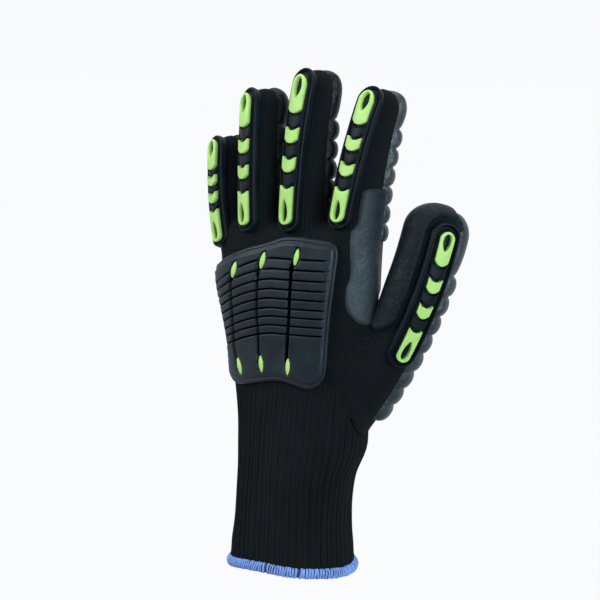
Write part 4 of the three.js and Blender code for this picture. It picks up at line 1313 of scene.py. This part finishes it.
def noise(tree, vector, scale, detail=3.0, rough=0.5):
    return node(tree, "ShaderNodeTexNoise", ("Vector", vector), ("Scale", scale), ("Detail", detail),
                ("Roughness", rough)).outputs["Fac"]


def ramp(tree, value, low, high, to_low=0.0, to_high=1.0):
    made = node(tree, "ShaderNodeMapRange", ("Value", value), ("From Min", low), ("From Max", high),
                ("To Min", to_low), ("To Max", to_high))
    return made.outputs["Result"]


def mix_colour(tree, factor, a, b):
    """One colour turning into another as the factor goes from 0 to 1."""
    made = node(tree, "ShaderNodeMix", (0, factor), (6, a), (7, b), data_type="RGBA")
    return made.outputs[2]


def knit_group():
    """Columns of knitted loops over the piece's own weave map."""
    tree, given, out = shader_group("knit_loops", [("Weave", VECTOR, None)],
                                    [("Height", FLOAT), ("Shade", FLOAT)])
    split = node(tree, "ShaderNodeSeparateXYZ", ("Vector", given["Weave"]))
    u = maths(tree, "FRACT", split.outputs["X"])
    side = maths(tree, "ABSOLUTE", maths(tree, "SUBTRACT", u, 0.5))
    lean = maths(tree, "MULTIPLY_ADD", side, 1.1, split.outputs["Y"])
    loop = maths(tree, "ABSOLUTE", maths(tree, "SUBTRACT", maths(tree, "FRACT", lean), 0.5))
    column = maths(tree, "SUBTRACT", 1.0, maths(tree, "POWER", maths(tree, "MULTIPLY", side, 2.0), 2.5))
    yarn = maths(tree, "SUBTRACT", 1.0, maths(tree, "POWER", maths(tree, "MULTIPLY", loop, 2.0), 2.0))
    height = maths(tree, "MULTIPLY", column, maths(tree, "MULTIPLY_ADD", yarn, 0.5, 0.5))
    tree.links.new(height, out["Height"])
    # Shade gives the colour its painted shade: darker between the loops
    tree.links.new(maths(tree, "MULTIPLY_ADD", height, 0.75, 0.25), out["Shade"])
    return tree


def grain_group():
    """Fine moulded grain over a broad mottling."""
    tree, given, out = shader_group("fine_grain", [("Grain", FLOAT, 2600.0), ("Mottling", FLOAT, 90.0)],
                                    [("Height", FLOAT), ("Tone", FLOAT)])
    place = tree.nodes.new("ShaderNodeTexCoord").outputs["Object"]
    fine = noise(tree, place, given["Grain"], 2.0, 0.6)
    broad = noise(tree, place, given["Mottling"], 5.0, 0.6)
    tree.links.new(fine, out["Height"])
    tree.links.new(broad, out["Tone"])
    return tree


def fibre_group():
    """Soft mottling and stray fibres of a dyed yarn."""
    tree, given, out = shader_group("yarn_fibres", [("Scale", FLOAT, 1500.0)],
                                    [("Height", FLOAT), ("Tone", FLOAT)])
    place = tree.nodes.new("ShaderNodeTexCoord").outputs["Object"]
    stretched = node(tree, "ShaderNodeMapping", ("Vector", place), ("Scale", (1.0, 1.0, 0.3)))
    tree.links.new(noise(tree, stretched.outputs["Vector"], given["Scale"], 3.0, 0.7), out["Height"])
    tree.links.new(noise(tree, place, 60.0, 4.0, 0.6), out["Tone"])
    return tree


GROUPS = {}


def use_group(tree, build, **values):
    """Outputs of a shader group, which is built at its first use."""
    if build not in GROUPS:
        GROUPS[build] = build()
    made = tree.nodes.new("ShaderNodeGroup")
    made.node_tree = GROUPS[build]
    for key, value in values.items():
        if isinstance(value, bpy.types.NodeSocket):
            tree.links.new(value, made.inputs[key])
        else:
            made.inputs[key].default_value = value
    return made.outputs


def new_material(name, **sockets):
    """A material with some sockets of its shader set, its node tree and the shader."""
    material = bpy.data.materials.new(name)
    material.use_nodes = True
    shader = material.node_tree.nodes["Principled BSDF"]
    for key, value in sockets.items():
        shader.inputs[key.replace("_", " ")].default_value = value
    return material, material.node_tree, shader


def bumped(tree, shader, layers):
    """Bumps over each other, each of a height and a depth in millimetres."""
    normal = None
    for height, depth in layers:
        bump = node(tree, "ShaderNodeBump", ("Height", height), ("Strength", 1.0), ("Distance", depth * MM))
        if normal is not None:
            tree.links.new(normal, bump.inputs["Normal"])
        normal = bump.outputs["Normal"]
    tree.links.new(normal, shader.inputs["Normal"])


def knit_material(name, dark, light):
    material, tree, shader = new_material(name, Roughness=0.9, Sheen_Weight=0.01, Sheen_Roughness=0.5)
    shader.inputs["Specular IOR Level"].default_value = 0.1
    weave = node(tree, "ShaderNodeUVMap", uv_map="weave").outputs["UV"]
    loops = use_group(tree, knit_group, Weave=weave)
    fibres = use_group(tree, fibre_group)
    # The colour: painted shade between the loops, times the yarn's own random tone
    shade = maths(tree, "MULTIPLY", loops["Shade"], ramp(tree, fibres["Tone"], 0.3, 0.7, 0.75, 1.15))
    tree.links.new(mix_colour(tree, shade, dark, light), shader.inputs["Base Color"])
    bumped(tree, shader, [(loops["Height"], 0.5), (fibres["Height"], 0.12)])
    return material


COOL_SHEEN = (0.8, 0.93, 1, 1)
# Painted shade for the knuckle guard's grooves and the seats of its lenses
PAINTED_GROOVE_SHADE = (0.0005, 0.001, 0.0015, 1)


def rubber_material(name, dark, light, roughness, grain_depth, gloss, paints_groove_shade=False):
    """Moulded rubber. Grooves that the piece's map marks get painted shade: near black, rough and without
    gloss.
    """
    material, tree, shader = new_material(name)
    shader.inputs["Specular IOR Level"].default_value = gloss
    shader.inputs["Specular Tint"].default_value = COOL_SHEEN
    grain = use_group(tree, grain_group)
    tone = ramp(tree, grain["Tone"], 0.3, 0.7)
    colour = mix_colour(tree, tone, dark, light)
    rough = ramp(tree, grain["Tone"], 0.3, 0.75, roughness - 0.06, roughness + 0.1)
    # Painted shade in the marked grooves: the colour turns near black and the gloss is taken away
    if paints_groove_shade:
        weave = node(tree, "ShaderNodeUVMap", uv_map="weave").outputs["UV"]
        groove = node(tree, "ShaderNodeSeparateXYZ", ("Vector", weave)).outputs["X"]
        colour = mix_colour(tree, groove, colour, PAINTED_GROOVE_SHADE)
        shine = maths(tree, "MULTIPLY", maths(tree, "SUBTRACT", 1.0, groove), gloss)
        tree.links.new(shine, shader.inputs["Specular IOR Level"])
        rough = maths(tree, "MAXIMUM", rough, groove)
    tree.links.new(colour, shader.inputs["Base Color"])
    tree.links.new(rough, shader.inputs["Roughness"])
    bumped(tree, shader, [(grain["Height"], grain_depth)])
    return material


def foam_material(name, dark, light, roughness, crinkle, gloss, painted_shade_span):
    """Foamed rubber. From one x to another, in mm, it turns to a darker colour and loses gloss: painted
    shade.
    """
    material, tree, shader = new_material(name)
    shader.inputs["Specular Tint"].default_value = COOL_SHEEN
    place = tree.nodes.new("ShaderNodeTexCoord").outputs["Object"]
    grain = use_group(tree, grain_group, Grain=1500.0, Mottling=70.0)
    creases = node(tree, "ShaderNodeTexNoise", ("Vector", place), ("Scale", 190.0), ("Detail", 4.0),
                   ("Roughness", 0.55), ("Distortion", 1.2)).outputs["Fac"]
    folds = maths(tree, "ABSOLUTE", maths(tree, "SUBTRACT", creases, 0.5))
    folds = ramp(tree, folds, 0.0, 0.09)
    pores = node(tree, "ShaderNodeTexVoronoi", ("Vector", place), ("Scale", 1300.0)).outputs["Distance"]
    pits = ramp(tree, pores, 0.0, 0.35)
    colour = mix_colour(tree, ramp(tree, grain["Tone"], 0.3, 0.7), dark, light)
    aside = node(tree, "ShaderNodeSeparateXYZ", ("Vector", place)).outputs["X"]
    start, end, shade_colour, kept_gloss = painted_shade_span
    # Painted shade by x: the colour darkens and the gloss drops between the two x values
    share = ramp(tree, aside, start * MM, end * MM)
    colour = mix_colour(tree, share, colour, shade_colour)
    tree.links.new(ramp(tree, share, 0.0, 1.0, gloss, gloss * kept_gloss),
                   shader.inputs["Specular IOR Level"])
    tree.links.new(colour, shader.inputs["Base Color"])
    tree.links.new(ramp(tree, grain["Tone"], 0.3, 0.75, roughness - 0.08, roughness + 0.1),
                   shader.inputs["Roughness"])
    bumped(tree, shader, [(folds, crinkle), (pits, 0.06), (grain["Height"], 0.1)])
    return material


def thread_material(name, dark, light):
    material, tree, shader = new_material(name, Roughness=0.85, Sheen_Weight=0.2, Sheen_Roughness=0.5)
    fibres = use_group(tree, fibre_group, Scale=2600.0)
    tree.links.new(mix_colour(tree, ramp(tree, fibres["Height"], 0.3, 0.7), dark, light),
                   shader.inputs["Base Color"])
    bumped(tree, shader, [(fibres["Height"], 0.15)])
    return material


# Studio

PHOTO_TARGET = (0.004, 0.0, 0.140)
PHOTO_AZIMUTH = 32
PHOTO_ELEVATION = 8
PHOTO_DISTANCE = 1.0
PHOTO_LENS = 115.4
FLOOR = -0.030
FLOOR_REACH = 9000.0
ROOM_LIGHT = 0.28
BACKDROP_LIGHT = 0.9
BACKDROP_COLOUR = (0.945, 0.955, 0.973, 1)
ROOM_COLOUR = (0.93, 0.97, 1.0, 1)


def make_camera():
    azimuth, elevation = math.radians(PHOTO_AZIMUTH), math.radians(PHOTO_ELEVATION)
    away = Vector((math.sin(azimuth) * math.cos(elevation), -math.cos(azimuth) * math.cos(elevation),
                   math.sin(elevation)))
    data = bpy.data.cameras.new("camera")
    data.lens = PHOTO_LENS
    data.sensor_width = 36
    data.clip_end = 50
    camera = bpy.data.objects.new("camera", data)
    camera.location = Vector(PHOTO_TARGET) + away * PHOTO_DISTANCE
    camera.rotation_euler = away.to_track_quat("Z", "Y").to_euler()
    bpy.context.scene.collection.objects.link(camera)
    bpy.context.scene.camera = camera


def area_light(name, place, target, size, power, colour=(1, 1, 1)):
    data = bpy.data.lights.new(name, "AREA")
    data.shape = "RECTANGLE"
    data.size, data.size_y = size
    data.energy = power
    data.color = colour
    lamp = bpy.data.objects.new(name, data)
    lamp.location = place
    aim = Vector(place) - Vector(target)
    lamp.rotation_euler = aim.to_track_quat("Z", "Y").to_euler()
    bpy.context.scene.collection.objects.link(lamp)


def make_studio():
    """A white backdrop behind, a dimmer room in front, and three soft lamps."""
    scene = bpy.context.scene
    scene.view_settings.view_transform = "Standard"
    world = bpy.data.worlds.new("studio")
    world.use_nodes = True
    tree = world.node_tree
    away = tree.nodes.new("ShaderNodeTexCoord").outputs["Generated"]
    behind = node(tree, "ShaderNodeVectorMath", (0, away), (1, (-0.53, 0.85, 0.0)), operation="DOT_PRODUCT")
    room = ramp(tree, behind.outputs["Value"], -0.3, 0.6, ROOM_LIGHT, BACKDROP_LIGHT)
    seen = tree.nodes.new("ShaderNodeLightPath").outputs["Is Camera Ray"]
    level = maths(tree, "MAXIMUM", room, seen)
    shade = mix_colour(tree, seen, ROOM_COLOUR, BACKDROP_COLOUR)
    tree.links.new(shade, tree.nodes["Background"].inputs["Color"])
    tree.links.new(level, tree.nodes["Background"].inputs["Strength"])
    scene.world = world
    middle = (0.0, 0.0, 0.13)
    area_light("key", (-0.75, -0.75, 0.75), middle, (0.7, 0.7), 9, (1.0, 0.99, 0.98))
    area_light("front", (1.05, -0.6, 0.3), middle, (0.8, 0.8), 13, (0.93, 0.98, 1.0))
    area_light("top", (0.0, 0.1, 1.2), middle, (0.8, 0.8), 5)
    points = np.array([[-1, -1, 0], [1, -1, 0], [1, 1, 0], [-1, 1, 0]]) * FLOOR_REACH
    mesh = new_mesh("floor", points + [0, 0, FLOOR / MM], np.array([[0, 1, 2, 3]]))
    floor = bpy.data.objects.new("floor", mesh)
    bpy.context.scene.collection.objects.link(floor)
    material, tree, shader = new_material("pale_floor", Roughness=1.0)
    shader.inputs["Base Color"].default_value = (0.01, 0.01, 0.01, 1)
    shader.inputs["Specular IOR Level"].default_value = 0
    shader.inputs["Emission Color"].default_value = BACKDROP_COLOUR
    shader.inputs["Emission Strength"].default_value = 1.0
    mesh.materials.append(material)
    floor.visible_diffuse = floor.visible_glossy = False


LINER_VOXEL, QUICK_LINER_VOXEL = 1.17, 1.5
FOAM_VOXEL, QUICK_FOAM_VOXEL = 0.75, 1.1


def main():
    black_knit = knit_material("black_knit", (0.001, 0.0016, 0.002, 1), (0.0085, 0.0132, 0.0165, 1))
    rib_knit = knit_material("black_rib_knit", (0.001, 0.0016, 0.002, 1), (0.0085, 0.0132, 0.016, 1))
    # The knuckle guard's black, with painted shade in its grooves
    black = rubber_material("moulded_black", (0.005, 0.010, 0.015, 1), (0.012, 0.020, 0.028, 1),
                            0.44, 0.03, 0.36, paints_groove_shade=True)
    # The finger guards' black is a darker, less glossy copy of the knuckle guard's moulded black: painted
    # shade
    strip = rubber_material("strip_black", (0.001, 0.004, 0.007, 1), (0.004, 0.009, 0.015, 1),
                            0.46, 0.03, 0.18)
    green = rubber_material("moulded_green", (0.38, 0.69, 0.17, 1), (0.46, 0.78, 0.23, 1), 0.45, 0.02, 0.4)
    # The pads get painted shade below x 34 mm, fully below 26 mm, where they turn near black with half their
    # gloss
    pad = foam_material("pad_foam", (0.010, 0.018, 0.022, 1), (0.032, 0.05, 0.06, 1), 0.4, 0.12, 0.66,
                        (34, 26, (0.001, 0.003, 0.004, 1), 0.5))
    # The patch gets painted shade on its thumb side, from x 44 mm to 54 mm, keeping 0.6 of its gloss
    patch = foam_material("patch_foam", (0.03, 0.045, 0.056, 1), (0.05, 0.07, 0.088, 1), 0.52, 0.16, 0.36,
                          (44, 54, (0.002, 0.007, 0.011, 1), 0.6))
    thread = thread_material("blue_thread", (0.14, 0.28, 0.76, 1), (0.24, 0.43, 0.92, 1))
    core = thread_material("navy_core", (0.01, 0.02, 0.06, 1), (0.03, 0.06, 0.17, 1))
    make_camera()
    make_studio()
    make_cuff(rib_knit)
    make_hem(thread, core)
    for finger in ALL_FINGERS.values():
        make_guard(finger, strip, green)
    make_knuckle_guard(black, green)
    points, quads = hand_form(LINER_VOXEL)
    make_liner(points, quads, black_knit)
    points, quads = hand_form(FOAM_VOXEL)
    normals, foam_up = make_foam(points, quads, pad)
    make_patch(points, quads, normals, foam_up, patch)


main()
